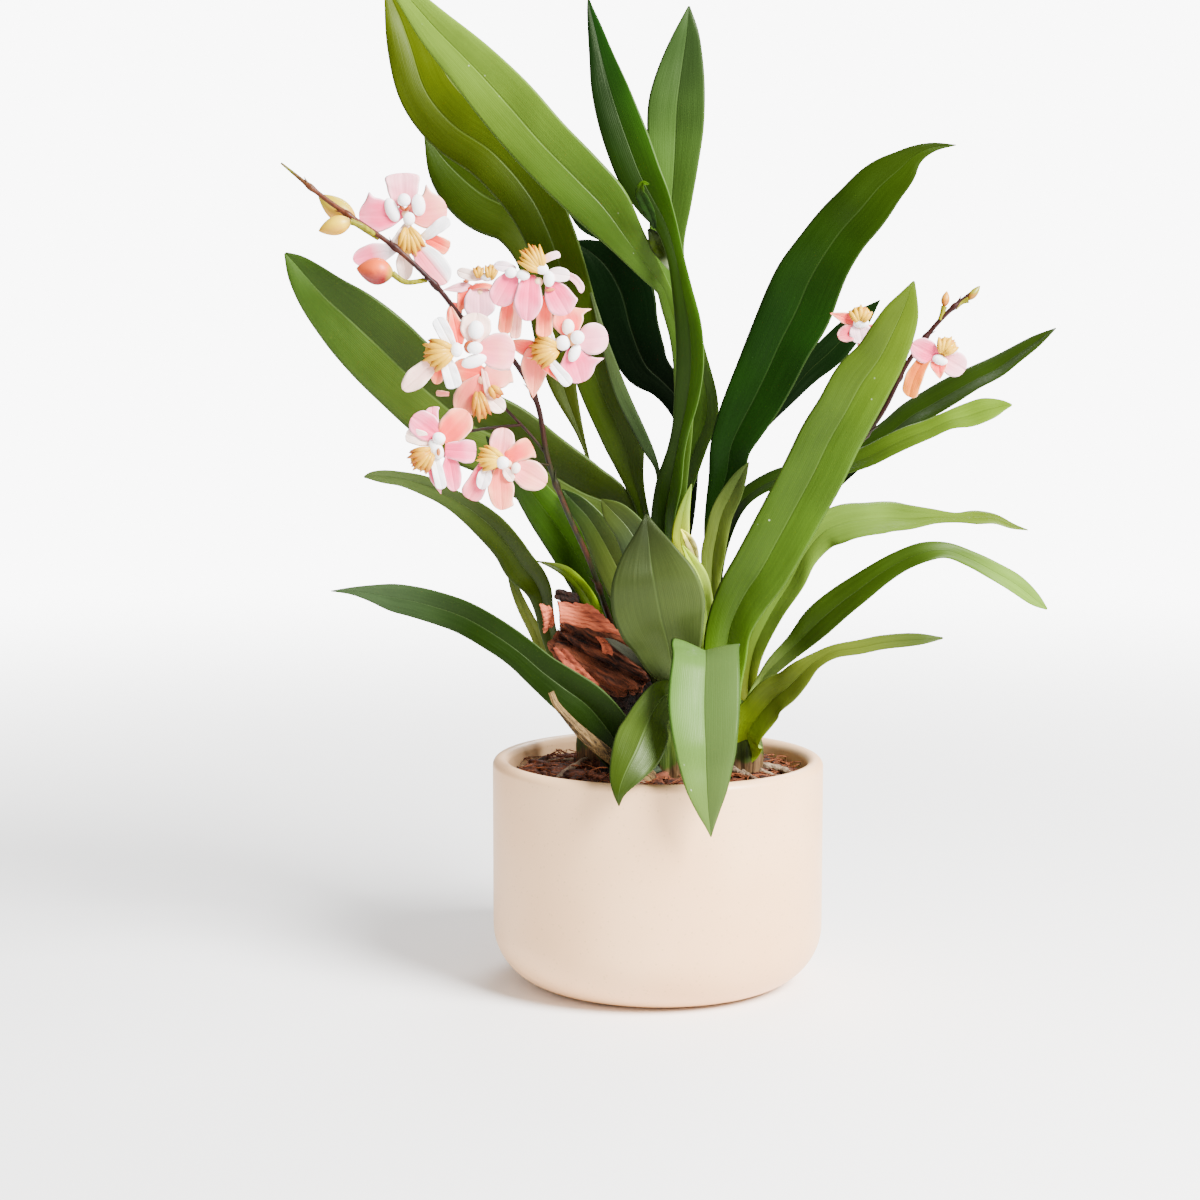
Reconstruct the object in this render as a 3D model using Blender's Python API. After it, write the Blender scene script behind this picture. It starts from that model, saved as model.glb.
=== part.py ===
# Potted dancing lady orchid: a round ceramic pot of bark mix, six leafy growths and two flower sprays.
# Metres. +X is to the right, +Y away from the viewer and +Z up.
# The origin is the middle of the pot's flat base.
import math

import bmesh
import bpy
import numpy as np
from mathutils import Euler, Matrix, Vector

MM = 0.001
GAP = 0.0003  # clearance between two pieces that touch

# Pot and filling
POT_RADIUS = 0.060
POT_HEIGHT = 0.082
POT_WALL = 0.0058
POT_FOOT = 0.021  # radius of the rounded foot
POT_FLOOR = 0.008
POT_SEGMENTS = 42
MIX_DEPTH = 0.009  # how far the mix lies below the lip
MIX_SWELL = 0.0012  # height of the mix's broad unevenness
MIX_LUMP = 0.0008  # height of its finer lumps
BULB_MIDDLE = 0.084  # height of the middle of each growth's bulb
BULB_HALF_HEIGHT = 0.020
BULB_SEGMENTS = 8
BULB_RINGS = 7
STEM_FOOT = 0.066  # height at which a flower stem ends in the mix

# Plant
LEAF_THICKNESS = 0.0009
PETAL_THICKNESS = 0.0008
PETAL_FOLD = (14, 8)  # degrees at the base and at the tip
STEM_RADIUS = 0.0013
TWIG_RADIUS = 0.0007
STALK_RUN = 0.005  # straight length of a stalk behind its bloom
NARROW_LEAF = 10  # widths in mm below and above which a blade has fewer or more points
BROAD_LEAF = 22

# Readings of the plant are (across, down, depth): across and down on a picture 1200 units wide,
# and depth in millimetres behind the pot's axis. The eye looks slightly down at AIM.
PICTURE_MIDDLE = 600
FOCAL = 2352
EYE_DISTANCE = 0.850
EYE_PITCH = math.radians(6.2)
AIM = Vector((-0.021, 0.0, 0.139))
FORWARD = Vector((0.0, math.cos(EYE_PITCH), -math.sin(EYE_PITCH)))
UPWARD = Vector((0.0, math.sin(EYE_PITCH), math.cos(EYE_PITCH)))
EYE = AIM - EYE_DISTANCE * FORWARD

# Leafy growths: the bulb's place and half-widths in mm, and each leaf's route from bulb to tip.
# width is in mm; turn is the leaf's roll and fold its angle along the midrib, at base and tip.
GROWTHS = {
    "growth_back": {
        "bulb": (4, 24, 9, 7),
        "leaves": {
            "tall_bright": {
                "route": [(670, 600, 18), (674, 500, 12), (678, 400, 5), (672, 318, 0), (645, 250, -4),
                          (598, 190, -6), (538, 127, -5), (471, 60, 0), (409, 1, 6), (372, -40, 10)],
                "width": 28, "widest": 0.72, "turn": (0, 10), "fold": (60, 14), "rise": 2.4,
            },
            "tall_olive": {
                "route": [(665, 600, 24), (650, 500, 20), (622, 425, 17), (592, 345, 16), (562, 265, 15),
                          (514, 191, 15), (456, 126, 16), (407, 56, 18), (384, -12, 20)],
                "width": 26, "widest": 0.74, "turn": (20, -10), "fold": (60, 14), "rise": 1.8,
            },
            "far_left": {
                "route": [(650, 600, 30), (612, 500, 36), (580, 410, 40), (556, 340, 42), (535, 275, 42),
                          (506, 221, 42), (468, 178, 42), (424, 134, 42)],
                "width": 26, "widest": 0.7, "turn": (-10, 0), "fold": (60, 12), "rise": 2.0,
            },
            "far_middle": {
                "route": [(672, 600, 34), (676, 500, 44), (668, 430, 48), (645, 362, 50),
                          (622, 305, 50), (592, 245, 49), (568, 200, 47)],
                "width": 30, "widest": 0.66, "turn": (10, 0), "fold": (60, 12), "rise": 2.4,
            },
            "tall_middle": {
                "route": [(662, 600, 16), (664, 500, 6), (683, 425, -2), (690, 350, -8), (678, 275, -10),
                          (655, 205, -8), (632, 145, -4), (608, 85, 0), (589, -2, 4)],
                "width": 18, "widest": 0.74, "turn": (40, 0), "fold": (60, 22), "rise": 1.6,
            },
            "tall_right": {
                "route": [(668, 600, 28), (688, 490, 30), (703, 405, 30), (692, 330, 29), (674, 240, 27),
                          (673, 160, 26), (680, 85, 25), (689, 8, 24)],
                "width": 24, "widest": 0.78, "turn": (50, -4), "fold": (60, 16), "taper": 3.0, "rise": 3.4,
            },
        },
    },
    "growth_left": {
        "bulb": (-20, 14, 10, 7),
        "leaves": {
            "wide_left": {
                "route": [(615, 660, 19), (620, 590, 24), (600, 530, 25), (560, 480, 20), (500, 440, 12),
                          (440, 398, 5), (385, 354, -2), (335, 308, -8), (286, 255, -12)],
                "width": 31, "widest": 0.66, "turn": (20, 4), "fold": (60, 20), "taper": 2.8,
            },
            "inner_left": {
                "route": [(612, 670, 15), (600, 605, 13), (579, 560, 9), (546, 512, 3), (514, 470, -4),
                          (486, 436, -11)],
                "width": 17, "widest": 0.5, "turn": (10, 0), "fold": (60, 24),
            },
            "low_olive": {
                "route": [(578, 705, 12), (553, 660, 6), (544, 625, 0), (530, 582, -6), (506, 545, -10),
                          (475, 512, -13), (438, 490, -14), (400, 479, -14), (364, 477, -14)],
                "width": 12, "widest": 0.45, "turn": (20, 30), "fold": (60, 20),
            },
            "narrow_left": {
                "route": [(570, 705, 18), (546, 660, 18), (530, 625, 18), (514, 590, 17), (498, 553, 16)],
                "width": 5, "widest": 0.4, "turn": (0, 0), "fold": (40, 15),
            },
            "sheath_left": {
                "route": [(612, 690, 14), (608, 650, 11), (598, 612, 5), (580, 586, -3), (560, 568, -9),
                          (536, 559, -13)],
                "width": 8.5, "widest": 0.55, "turn": (0, 0), "fold": (50, 30),
            },
        },
    },
    "growth_right_back": {
        "bulb": (24, 20, 8, 7),
        "leaves": {
            "wide_dark": {
                "route": [(716, 620, 20), (714, 545, 18), (722, 485, 15), (747, 411, 10), (779, 350, 6),
                          (815, 276, 2), (858, 211, -2), (905, 163, -4), (955, 145, -4)],
                "width": 28, "widest": 0.6, "turn": (10, 6), "fold": (60, 14), "stem": 0.24, "rise": 1.9,
            },
            "strap_dark": {
                "route": [(724, 600, 30), (738, 510, 38), (770, 430, 44), (815, 372, 48), (852, 343, 50),
                          (885, 300, 50)],
                "width": 11, "widest": 0.6, "turn": (0, 0), "fold": (60, 10),
            },
            "right_dark": {
                "route": [(735, 640, 26), (760, 560, 32), (800, 500, 36), (845, 457, 38), (895, 425, 38),
                          (945, 394, 37), (1000, 363, 35), (1056, 328, 32)],
                "width": 15, "widest": 0.55, "turn": (50, 55), "fold": (50, 14),
            },
            "right_pale": {
                "route": [(728, 640, 20), (738, 545, 20), (775, 487, 22), (835, 462, 24), (895, 441, 24),
                          (945, 419, 23), (982, 405, 22), (1010, 405, 21)],
                "width": 12, "widest": 0.6, "turn": (50, 40), "fold": (50, 14),
            },
            "short_pale": {
                "route": [(712, 640, 10), (708, 580, 6), (716, 530, 4), (732, 492, 2), (747, 464, 0)],
                "width": 9, "widest": 0.55, "turn": (10, 0), "fold": (60, 30),
            },
        },
    },
    "growth_right_front": {
        "bulb": (29, -6, 9, 8),
        "leaves": {
            "front_bright": {
                "route": [(723, 690, -12), (727, 622, -16), (757, 568, -22), (783, 526, -27), (815, 470, -33),
                          (853, 403, -38), (886, 344, -41), (914, 283, -43)],
                "width": 25, "widest": 0.55, "turn": (15, -5), "fold": (60, 14), "rise": 1.7,
            },
            "wavy_pale": {
                "route": [(752, 680, 0), (764, 640, 2), (790, 590, 2), (815, 541, 0), (850, 520, -3),
                          (893, 517, -6), (935, 518, -8), (980, 515, -9), (1028, 530, -9)],
                "width": 15, "widest": 0.55, "turn": (20, 50), "fold": (60, 10), "wave": 1.2,
            },
            "arching": {
                "route": [(762, 680, -14), (786, 655, -20), (816, 631, -25), (846, 604, -28), (877, 581, -30),
                          (912, 559, -30), (945, 549, -29), (986, 567, -26), (1020, 586, -23),
                          (1046, 607, -20)],
                "width": 12, "widest": 0.55, "turn": (10, 30), "fold": (50, 14),
            },
            "low_right": {
                "route": [(758, 722, -18), (783, 694, -28), (812, 668, -35), (840, 652, -39), (872, 643, -42),
                          (908, 640, -44), (943, 639, -45)],
                "width": 14, "widest": 0.3, "turn": (20, 40), "fold": (50, 14),
            },
        },
    },
    "growth_front": {
        "bulb": (6, -16, 10, 7),
        "leaves": {
            "broad_grey": {
                "route": [(672, 690, -22), (662, 645, -27), (657, 605, -30), (655, 560, -30), (645, 515, -27)],
                "width": 35, "widest": 0.6, "stem": 0.25, "turn": (0, 0), "fold": (50, 14),
            },
            "behind_broad": {
                "route": [(684, 680, -14), (673, 620, -16), (652, 570, -16), (628, 528, -14), (601, 499, -12)],
                "width": 17, "widest": 0.6, "turn": (0, 10), "fold": (50, 14),
            },
            "inner_dark": {
                "route": [(672, 690, -6), (650, 640, 1), (632, 600, 2), (612, 558, 1), (590, 520, -1),
                          (562, 489, -2)],
                "width": 15, "widest": 0.6, "turn": (0, 10), "fold": (50, 20),
            },
            "drooping": {
                "route": [(700, 700, -23), (703, 665, -32), (705, 650, -41), (706, 662, -51), (708, 700, -60),
                          (710, 750, -67), (711, 800, -70), (711, 837, -71)],
                "width": 26, "widest": 0.55, "stem": 0.5, "turn": (0, 0), "fold": (-30, -22), "rows": 15,
            },
            "short_droop": {
                "route": [(684, 716, -25), (675, 700, -35), (661, 703, -45), (646, 722, -54), (633, 750, -61),
                          (624, 780, -66), (619, 804, -68)],
                "width": 18, "widest": 0.55, "turn": (0, 0), "fold": (-30, -14), "rows": 12,
            },
            "low_left": {
                "route": [(640, 742, -28), (605, 722, -32), (568, 692, -34), (533, 667, -34), (505, 648, -34),
                          (471, 625, -33), (435, 606, -32), (392, 593, -30), (333, 590, -27)],
                "width": 16, "widest": 0.3, "turn": (10, 10), "fold": (50, 16),
            },
        },
    },
    "growth_young": {
        "bulb": (14, 2, 5, 5),
        "leaves": {
            "shoot_tall": {
                "route": [(694, 650, -4), (687, 590, -6), (682, 545, -6), (684, 515, -6), (691, 484, -6)],
                "width": 8, "widest": 0.6, "turn": (0, 0), "fold": (50, 30),
            },
            "shoot_short": {
                "route": [(706, 660, -8), (708, 610, -10), (705, 580, -12), (697, 560, -12), (688, 550, -12)],
                "width": 6, "widest": 0.6, "turn": (0, 0), "fold": (50, 20),
            },
        },
    },
}

# Flower sprays: the main stem from the mix to its end, and side branches from a point on it.
SPRAYS = {
    "spray_left": {
        "foot": (-6, 2),
        "stem": [(638, 740, 3), (631, 690, 3), (619, 645, 2), (606, 609, -4), (590, 562, -14), (566, 509, -20),
                 (548, 460, -24), (536, 400, -28), (505, 350, -33), (466, 322, -38), (438, 288, -42),
                 (397, 249, -45), (327, 200, -47), (281, 163, -48)],
    },
    "spray_right": {
        "foot": (22, 7),
        "stem": [(721, 700, 6), (735, 640, 5), (764, 577, 5), (805, 515, 5), (848, 458, 5), (882, 413, 4),
                 (908, 362, 2), (942, 318, 0), (978, 287, 0)],
    },
}

# Open flowers: the middle, the lip's direction in the picture in degrees, the pan and tilt away
# from the viewer, the size, and the point of the spray that its stalk grows from.
BLOOMS = {
    "bloom_01": {"at": (406, 214, -34), "lip": -78, "pan": 0, "tilt": 0, "size": 1.0,
                 "stalk": [(440, 291, -41), (434, 287, -34), (422, 262, -27)], "spray": "spray_left"},
    "bloom_02": {"at": (480, 296, -28), "lip": 90, "pan": 0, "tilt": 40, "size": 0.85,
                 "stalk": [(472, 327, -37), (478, 322, -26)], "spray": "spray_left"},
    "bloom_03": {"at": (538, 286, -56), "lip": 98, "pan": 0, "tilt": 30, "size": 1.0,
                 "stalk": [(517, 366, -32), (527, 325, -36)], "spray": "spray_left"},
    "bloom_04": {"at": (474, 345, -60), "lip": 195, "pan": 5, "tilt": 0, "size": 0.95,
                 "stalk": [(494, 341, -35), (484, 344, -44)], "spray": "spray_left"},
    "bloom_05": {"at": (576, 340, -46), "lip": 200, "pan": 0, "tilt": 5, "size": 0.95,
                 "stalk": [(524, 376, -31), (552, 356, -31)], "spray": "spray_left"},
    "bloom_06": {"at": (482, 378, -46), "lip": -75, "pan": 0, "tilt": 35, "size": 0.8,
                 "stalk": [(547, 455, -24), (528, 432, -26), (503, 406, -30)], "spray": "spray_left"},
    "bloom_07": {"at": (439, 437, -58), "lip": -137, "pan": 5, "tilt": 5, "size": 0.9,
                 "stalk": [(521, 425, -27), (490, 428, -31), (462, 433, -40)], "spray": "spray_left"},
    "bloom_08": {"at": (514, 465, -47), "lip": 165, "pan": 0, "tilt": 0, "size": 0.92,
                 "stalk": [(549, 465, -24), (532, 464, -30)], "spray": "spray_left"},
    "bloom_09": {"at": (864, 323, -16), "lip": 165, "pan": 20, "tilt": 10, "size": 0.75,
                 "stalk": [(872, 424, 4), (880, 385, 4), (872, 345, 0)], "spray": "spray_right"},
    "bloom_10": {"at": (942, 360, -16), "lip": 65, "pan": 20, "tilt": -15, "size": 0.8,
                 "stalk": [(899, 380, 3), (922, 370, 1)], "spray": "spray_right"},
}

# Sepals and petals of a bloom, in mm before its size: direction in degrees from the right, start,
# length, width, height at the start, middle and end, and the share of the width at the base.
PETALS = {
    "top_sepal": (90, 1.2, 13, 10, (-0.6, 0.2, -0.6), 0.3),
    "right_sepal": (-36, 1.2, 12, 7, (-1.2, -1.8, -3.6), 0.36),
    "left_sepal": (216, 1.2, 12, 7, (-1.2, -1.8, -3.6), 0.36),
    "right_petal": (27, 1.2, 15, 12.5, (0.6, 2.2, 1.4), 0.24),
    "left_petal": (153, 1.2, 15, 12.5, (0.6, 2.2, 1.4), 0.24),
}
COLUMN = {"half": (2.4, 2.8, 4.3), "back": 3.2, "raised": 0.4}
LIP = {"start": 1.0, "length": 20.0, "width": 18.5, "waist": 0.3, "notch": 0.2, "height": 1.4, "rise": 1.2,
       "drop": 3.0, "widest": 0.8, "tip": 0.72, "edge_drop": 0.5}
CREST = {"start": 3.4, "length": 9.5, "width": 9.5, "height": 2.0, "ridges": 3, "wall": 1.4, "gap": 0.6}

# Closed buds: middle, half-length and half-width in mm, and the direction in the picture in degrees
BUDS = {
    "bud_red": {"at": (374, 270, -43), "half": (6.2, 4.0), "lean": 172, "look": "bud_red",
                "stalk": [(427, 280, -42), (405, 282, -43)], "spray": "spray_left"},
    "bud_upper": {"at": (337, 209, -41), "half": (8.0, 3.2), "lean": 143, "look": "bud_yellow",
                  "stalk": [(378, 238, -45), (367, 231, -42)], "spray": "spray_left"},
    "bud_lower": {"at": (335, 226, -51), "half": (5.6, 2.7), "lean": 197, "look": "bud_yellow",
                  "stalk": [(374, 234, -46), (362, 226, -50)], "spray": "spray_left"},
}

# Bark: the middle as a reading, half-sizes in mm, its turn in the picture in degrees, and its ridges
BARK = {
    "bark_base": {"at": (597, 735, -10), "half": (13, 9, 20), "turn": 0, "ridges": 5, "rough": 0.09},
    "bark_chunk": {"at": (600, 655, -10), "half": (18, 7.5, 9), "turn": -32, "ridges": 9, "rough": 0.10},
}
LOWER_LUMP = {"at": (640, 700, -6), "half": (6, 5, 7)}
FLAKES = {
    "top": [(559, 603, -13), (592, 608, -11), (563, 622, -17), (624, 638, -15)],
    "side": [(538, 604, -13), (552, 602, -11), (552, 640, -12), (572, 648, -10)],
    "front": [(556, 646, -17), (600, 668, -18), (562, 666, -17), (600, 690, -17)],
}
FLAKE_THICKNESS = 0.0014
FLAKE_CURL = 0.0016
STUB = {"route": [(548, 688, -41), (570, 714, -40), (590, 738, -38), (612, 762, -34), (628, 800, -28)],
        "radius": 0.0026, "top_radius": 0.0016}

LOOKS = {
    "ceramic": ((0.86, 0.76, 0.66), 0.45),
    "mix": ((0.10, 0.05, 0.03), 0.95),
    "bark": ((0.24, 0.11, 0.07), 0.9),
    "dry_husk": ((0.42, 0.33, 0.19), 0.85),
    "leaf": ((0.10, 0.22, 0.04), 0.4),
    "young_leaf": ((0.42, 0.55, 0.16), 0.45),
    "stem": ((0.12, 0.07, 0.04), 0.5),
    "petal": ((0.90, 0.58, 0.56), 0.55),
    "crest": ((0.95, 0.66, 0.05), 0.5),
    "bud_red": ((0.80, 0.22, 0.14), 0.5),
    "bud_yellow": ((0.92, 0.72, 0.05), 0.5),
}


def look(name):
    """The material of this name, made on its first use."""
    if name in bpy.data.materials:
        return bpy.data.materials[name]
    colour, roughness = LOOKS[name]
    material = bpy.data.materials.new(name)
    material.use_nodes = True
    shader = material.node_tree.nodes["Principled BSDF"]
    shader.inputs["Base Color"].default_value = (*colour, 1.0)
    shader.inputs["Roughness"].default_value = roughness
    shader.inputs["Metallic"].default_value = 0.0
    return material


def seen(reading):
    """The point in space of a reading: where the line of sight meets the upright plane at its depth."""
    across, down, depth = reading
    sight = FORWARD.copy()
    sight.x += (across - PICTURE_MIDDLE) / FOCAL
    sight += UPWARD * ((PICTURE_MIDDLE - down) / FOCAL)
    reach = (depth * MM - EYE.y) / sight.y
    return EYE + reach * sight


def smooth(points, shares):
    """Points at the given shares of the length of a smooth curve through the given points."""
    points = np.array([tuple(point) for point in points])
    knots = np.concatenate([[0.0], np.cumsum(np.linalg.norm(np.diff(points, axis=0), axis=1) ** 0.5)])
    slopes = np.gradient(points, knots, axis=0)
    fine = np.linspace(0.0, knots[-1], 30 * len(points))
    span = np.clip(np.searchsorted(knots, fine, side="right") - 1, 0, len(points) - 2)
    size = (knots[span + 1] - knots[span])[:, None]
    u = (fine - knots[span])[:, None] / size
    curve = ((2 * u**3 - 3 * u**2 + 1) * points[span] + (u**3 - 2 * u**2 + u) * size * slopes[span]
             + (3 * u**2 - 2 * u**3) * points[span + 1] + (u**3 - u**2) * size * slopes[span + 1])
    length = np.concatenate([[0.0], np.cumsum(np.linalg.norm(np.diff(curve, axis=0), axis=1))])
    targets = np.asarray(shares) * length[-1]
    return np.column_stack([np.interp(targets, length, curve[:, axis]) for axis in range(3)])


def unit(vectors):
    """Rows scaled to length one."""
    return vectors / np.linalg.norm(vectors, axis=-1, keepdims=True)


def add_object(name, mesh, look_name="leaf"):
    """A new object in the scene, with its material."""
    piece = bpy.data.objects.new(name, mesh)
    mesh.materials.clear()
    mesh.materials.append(look(look_name))
    bpy.context.scene.collection.objects.link(piece)
    return piece


def sheet(grid, thickness):
    """A thin closed piece round a surface given as rows of points, cut into triangles before it is thickened."""
    rows, columns = grid.shape[:2]
    corner = np.arange(rows * columns).reshape(rows, columns)
    a, b = corner[:-1, :-1].ravel(), corner[:-1, 1:].ravel()
    c, d = corner[1:, 1:].ravel(), corner[1:, :-1].ravel()
    triangles = np.concatenate([np.column_stack([a, b, c]), np.column_stack([a, c, d])])
    mesh = bpy.data.meshes.new("sheet")
    mesh.from_pydata(grid.reshape(-1, 3).tolist(), [], triangles.tolist())
    piece = add_object("sheet", mesh)
    wall = piece.modifiers.new("wall", "SOLIDIFY")
    wall.thickness = thickness
    wall.offset = 0.0
    wall.use_even_offset = True
    return piece


def blade(points, faces_to, width, widest, stem, turn, fold, thickness, rows, columns,
          taper=2.3, rise=1.3, rounding=1.0, wave=0.0):
    """A leaf or petal: a folded strip along a smooth route, wide in the middle and narrow at both ends.

    faces_to is the point, or the direction if it is a tuple, that the blade's face looks to.
    """
    steps = np.linspace(0.0, 1.0, rows)
    shares = 1.0 - (1.0 - steps) ** 1.25
    spine = smooth(points, shares)
    along = unit(np.gradient(spine, axis=0))
    toward = unit(np.array(faces_to) - spine) if isinstance(faces_to, Vector) else np.tile(faces_to, (rows, 1))
    side = unit(np.cross(along, toward))
    for row in range(1, rows):
        if np.dot(side[row], side[row - 1]) < 0:
            side[row] = -side[row]
    face = np.cross(side, along)
    roll = np.radians(turn[0] + (turn[1] - turn[0]) * shares)[:, None]
    side, face = side * np.cos(roll) + face * np.sin(roll), face * np.cos(roll) - side * np.sin(roll)
    swell = np.sin(np.clip(shares / widest, 0.0, 1.0) * np.pi / 2) ** rise
    fall = (1.0 - np.clip((shares - widest) / (1.0 - widest), 0.0, 1.0) ** taper) ** rounding
    half = 0.5 * width * (stem + (1.0 - stem) * swell) * (0.05 + 0.95 * fall)
    bend = np.radians(fold[1] + (fold[0] - fold[1]) * (1.0 - shares) ** 4)[:, None]
    across = np.linspace(-1.0, 1.0, columns)[None, :]
    inner = np.clip(np.abs(across), 0.0, 0.5)
    outer = np.clip(np.abs(across) - 0.5, 0.0, 0.5)
    reach = half[:, None] * np.sign(across) * (inner * np.cos(bend) + outer * np.cos(0.5 * bend))
    lift = half[:, None] * (inner * np.sin(bend) + outer * np.sin(0.5 * bend))
    lift = lift + wave * np.sin(shares[:, None] * 19.0 + across) * across**2 * fall[:, None]
    grid = spine[:, None] + side[:, None] * reach[..., None] + face[:, None] * lift[..., None]
    return sheet(grid, thickness)


def ball(middle, radii, segments, rings):
    """An egg-shaped piece of the given half-widths."""
    mesh = bpy.data.meshes.new("ball")
    shape = bmesh.new()
    bmesh.ops.create_uvsphere(shape, u_segments=segments, v_segments=rings, radius=1.0)
    bmesh.ops.triangulate(shape, faces=shape.faces)
    shape.transform(Matrix.Translation(Vector(middle)) @ Matrix.Diagonal((*radii, 1.0)))
    shape.to_mesh(mesh)
    shape.free()
    return add_object("ball", mesh)


def tube(points, radius, end_radius, count, bevel=1):
    """A stem along a smooth route, thinner towards its end; bevel 0 has four sides and 1 has six."""
    route = smooth(points, np.linspace(0.0, 1.0, count))
    curve = bpy.data.curves.new("tube", "CURVE")
    curve.dimensions = "3D"
    curve.bevel_depth = 1.0
    curve.bevel_resolution = bevel
    curve.use_fill_caps = True
    spline = curve.splines.new("POLY")
    spline.points.add(count - 1)
    for index, (point, place) in enumerate(zip(spline.points, route)):
        point.co = (*place, 1.0)
        point.radius = radius + (end_radius - radius) * index / (count - 1)
    guide = bpy.data.objects.new("tube", curve)
    bpy.context.scene.collection.objects.link(guide)
    piece = add_object("tube", baked(guide))
    bpy.data.objects.remove(guide)
    return piece


def baked(piece):
    """The mesh of a piece as its modifiers leave it."""
    bpy.context.view_layer.update()
    graph = bpy.context.evaluated_depsgraph_get()
    return bpy.data.meshes.new_from_object(piece.evaluated_get(graph), depsgraph=graph)


def merge(piece, distance=1e-6):
    """Joins the points of a piece that lie on one another."""
    shape = bmesh.new()
    shape.from_mesh(piece.data)
    bmesh.ops.remove_doubles(shape, verts=shape.verts, dist=distance)
    bmesh.ops.recalc_face_normals(shape, faces=shape.faces)
    shape.to_mesh(piece.data)
    shape.free()


def combine(piece, others, operation, solver="EXACT"):
    """Joins or cuts a piece with all the others at once by a Boolean, and removes the others."""
    group = bpy.data.collections.new("others")
    bpy.context.scene.collection.children.link(group)
    for other in others:
        group.objects.link(other)
        bpy.context.scene.collection.objects.unlink(other)
    step = piece.modifiers.new(operation.lower(), "BOOLEAN")
    step.operation = operation
    step.operand_type = "COLLECTION"
    step.collection = group
    step.solver = solver
    piece.data = baked(piece)
    piece.modifiers.clear()
    for other in others:
        bpy.data.objects.remove(other)
    bpy.data.collections.remove(group)


def fuse(name, pieces, look_name, solver="EXACT"):
    """One body from overlapping pieces."""
    whole, *others = pieces
    combine(whole, others, "UNION", solver)
    merge(whole, 2e-6)
    whole.name = name
    whole.data.name = name
    whole.data.materials.clear()
    whole.data.materials.append(look(look_name))
    return whole


def grown(piece, gap):
    """A copy of a piece whose surface stands out by the gap all round."""
    copy = add_object("grown", baked(piece))
    merge(copy)
    shape = bmesh.new()
    shape.from_mesh(copy.data)
    shape.normal_update()
    moves = [vert.normal * (gap * vert.calc_shell_factor()) for vert in shape.verts]
    for vert, move in zip(shape.verts, moves):
        vert.co += move
    shape.to_mesh(copy.data)
    shape.free()
    return copy


def turned_piece(name, outline, look_name):
    """A round piece: an outline of (radius, height), down the outer side first, swept about the axis."""
    mesh = bpy.data.meshes.new(name)
    edges = [(index, index + 1) for index in range(len(outline) - 1)]
    mesh.from_pydata([(radius, 0.0, height) for radius, height in outline], edges, [])
    piece = add_object(name, mesh, look_name)
    sweep = piece.modifiers.new("sweep", "SCREW")
    sweep.axis = "Z"
    sweep.steps = POT_SEGMENTS
    sweep.render_steps = POT_SEGMENTS
    sweep.use_merge_vertices = True
    sweep.merge_threshold = 1e-5
    return piece


def arc(middle, radius, start, end, count):
    """Points of an arc in the outline's plane, angles in degrees."""
    angles = np.radians(np.linspace(start, end, count))
    return [(middle[0] + radius * math.cos(angle), middle[1] + radius * math.sin(angle)) for angle in angles]


def make_pot():
    """The pot: a thick wall with a rounded lip and a rounded foot."""
    lip = POT_WALL / 2
    inner = POT_RADIUS - POT_WALL
    inner_foot = POT_FOOT - POT_WALL
    outline = arc((POT_RADIUS - lip, POT_HEIGHT - lip), lip, 90, 0, 3)
    outline += arc((POT_RADIUS - POT_FOOT, POT_FOOT), POT_FOOT, 0, -90, 6)
    outline += [(0.0, 0.0), (0.0, POT_FLOOR)]
    outline += arc((inner - inner_foot, POT_FLOOR + inner_foot), inner_foot, -90, 0, 3)
    outline += arc((POT_RADIUS - lip, POT_HEIGHT - lip), lip, 180, 90, 3)
    pot = turned_piece("pot", outline, "ceramic")
    pot.data = baked(pot)
    pot.modifiers.clear()
    merge(pot, 1e-5)
    return pot


def make_mix(cutters):
    """The bark mix that fills the pot, with an uneven top and plain holes for what stands in it."""
    radius = POT_RADIUS - POT_WALL - GAP
    foot = POT_FOOT - POT_WALL
    floor = POT_FLOOR + GAP
    top = POT_HEIGHT - MIX_DEPTH
    outline = [(0.0, top), (0.45 * radius, top), (0.85 * radius, top), (radius, top - 0.002)]
    outline += arc((radius - foot, floor + foot), foot, 0, -90, 2)
    outline += [(0.0, floor)]
    mix = turned_piece("mix", outline, "mix")
    mix.data = baked(mix)
    mix.modifiers.clear()
    merge(mix, 1e-5)
    for vert in mix.data.vertices:
        if vert.co.z > top - GAP:
            x, y = vert.co.x, vert.co.y
            vert.co.z += MIX_SWELL * math.sin(210 * x + 3) * math.cos(260 * y)
            vert.co.z += MIX_LUMP * math.sin(520 * x - 330 * y)
    combine(mix, cutters, "DIFFERENCE")
    merge(mix)
    return mix


def make_growth(name, growth):
    """A bulb with its leaves, grown as one body."""
    x, y, half_x, half_y = (value * MM for value in growth["bulb"])
    middle = Vector((x, y, BULB_MIDDLE))
    pieces = [ball(middle, (half_x, half_y, BULB_HALF_HEIGHT), BULB_SEGMENTS, BULB_RINGS)]
    for leaf in growth["leaves"].values():
        points = [middle] + [seen(reading) for reading in leaf["route"]]
        rows = leaf.get("rows", 7 if leaf["width"] < NARROW_LEAF else 10)
        columns = 5 if leaf["width"] > BROAD_LEAF else 3
        pieces.append(blade(points, EYE, leaf["width"] * MM, leaf["widest"], leaf.get("stem", 0.3),
                            leaf["turn"], leaf["fold"], LEAF_THICKNESS, rows, columns, leaf.get("taper", 2.3),
                            leaf.get("rise", 1.3), wave=leaf.get("wave", 0.0) * MM))
    return fuse(name, pieces, "young_leaf" if name == "growth_young" else "leaf")


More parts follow.
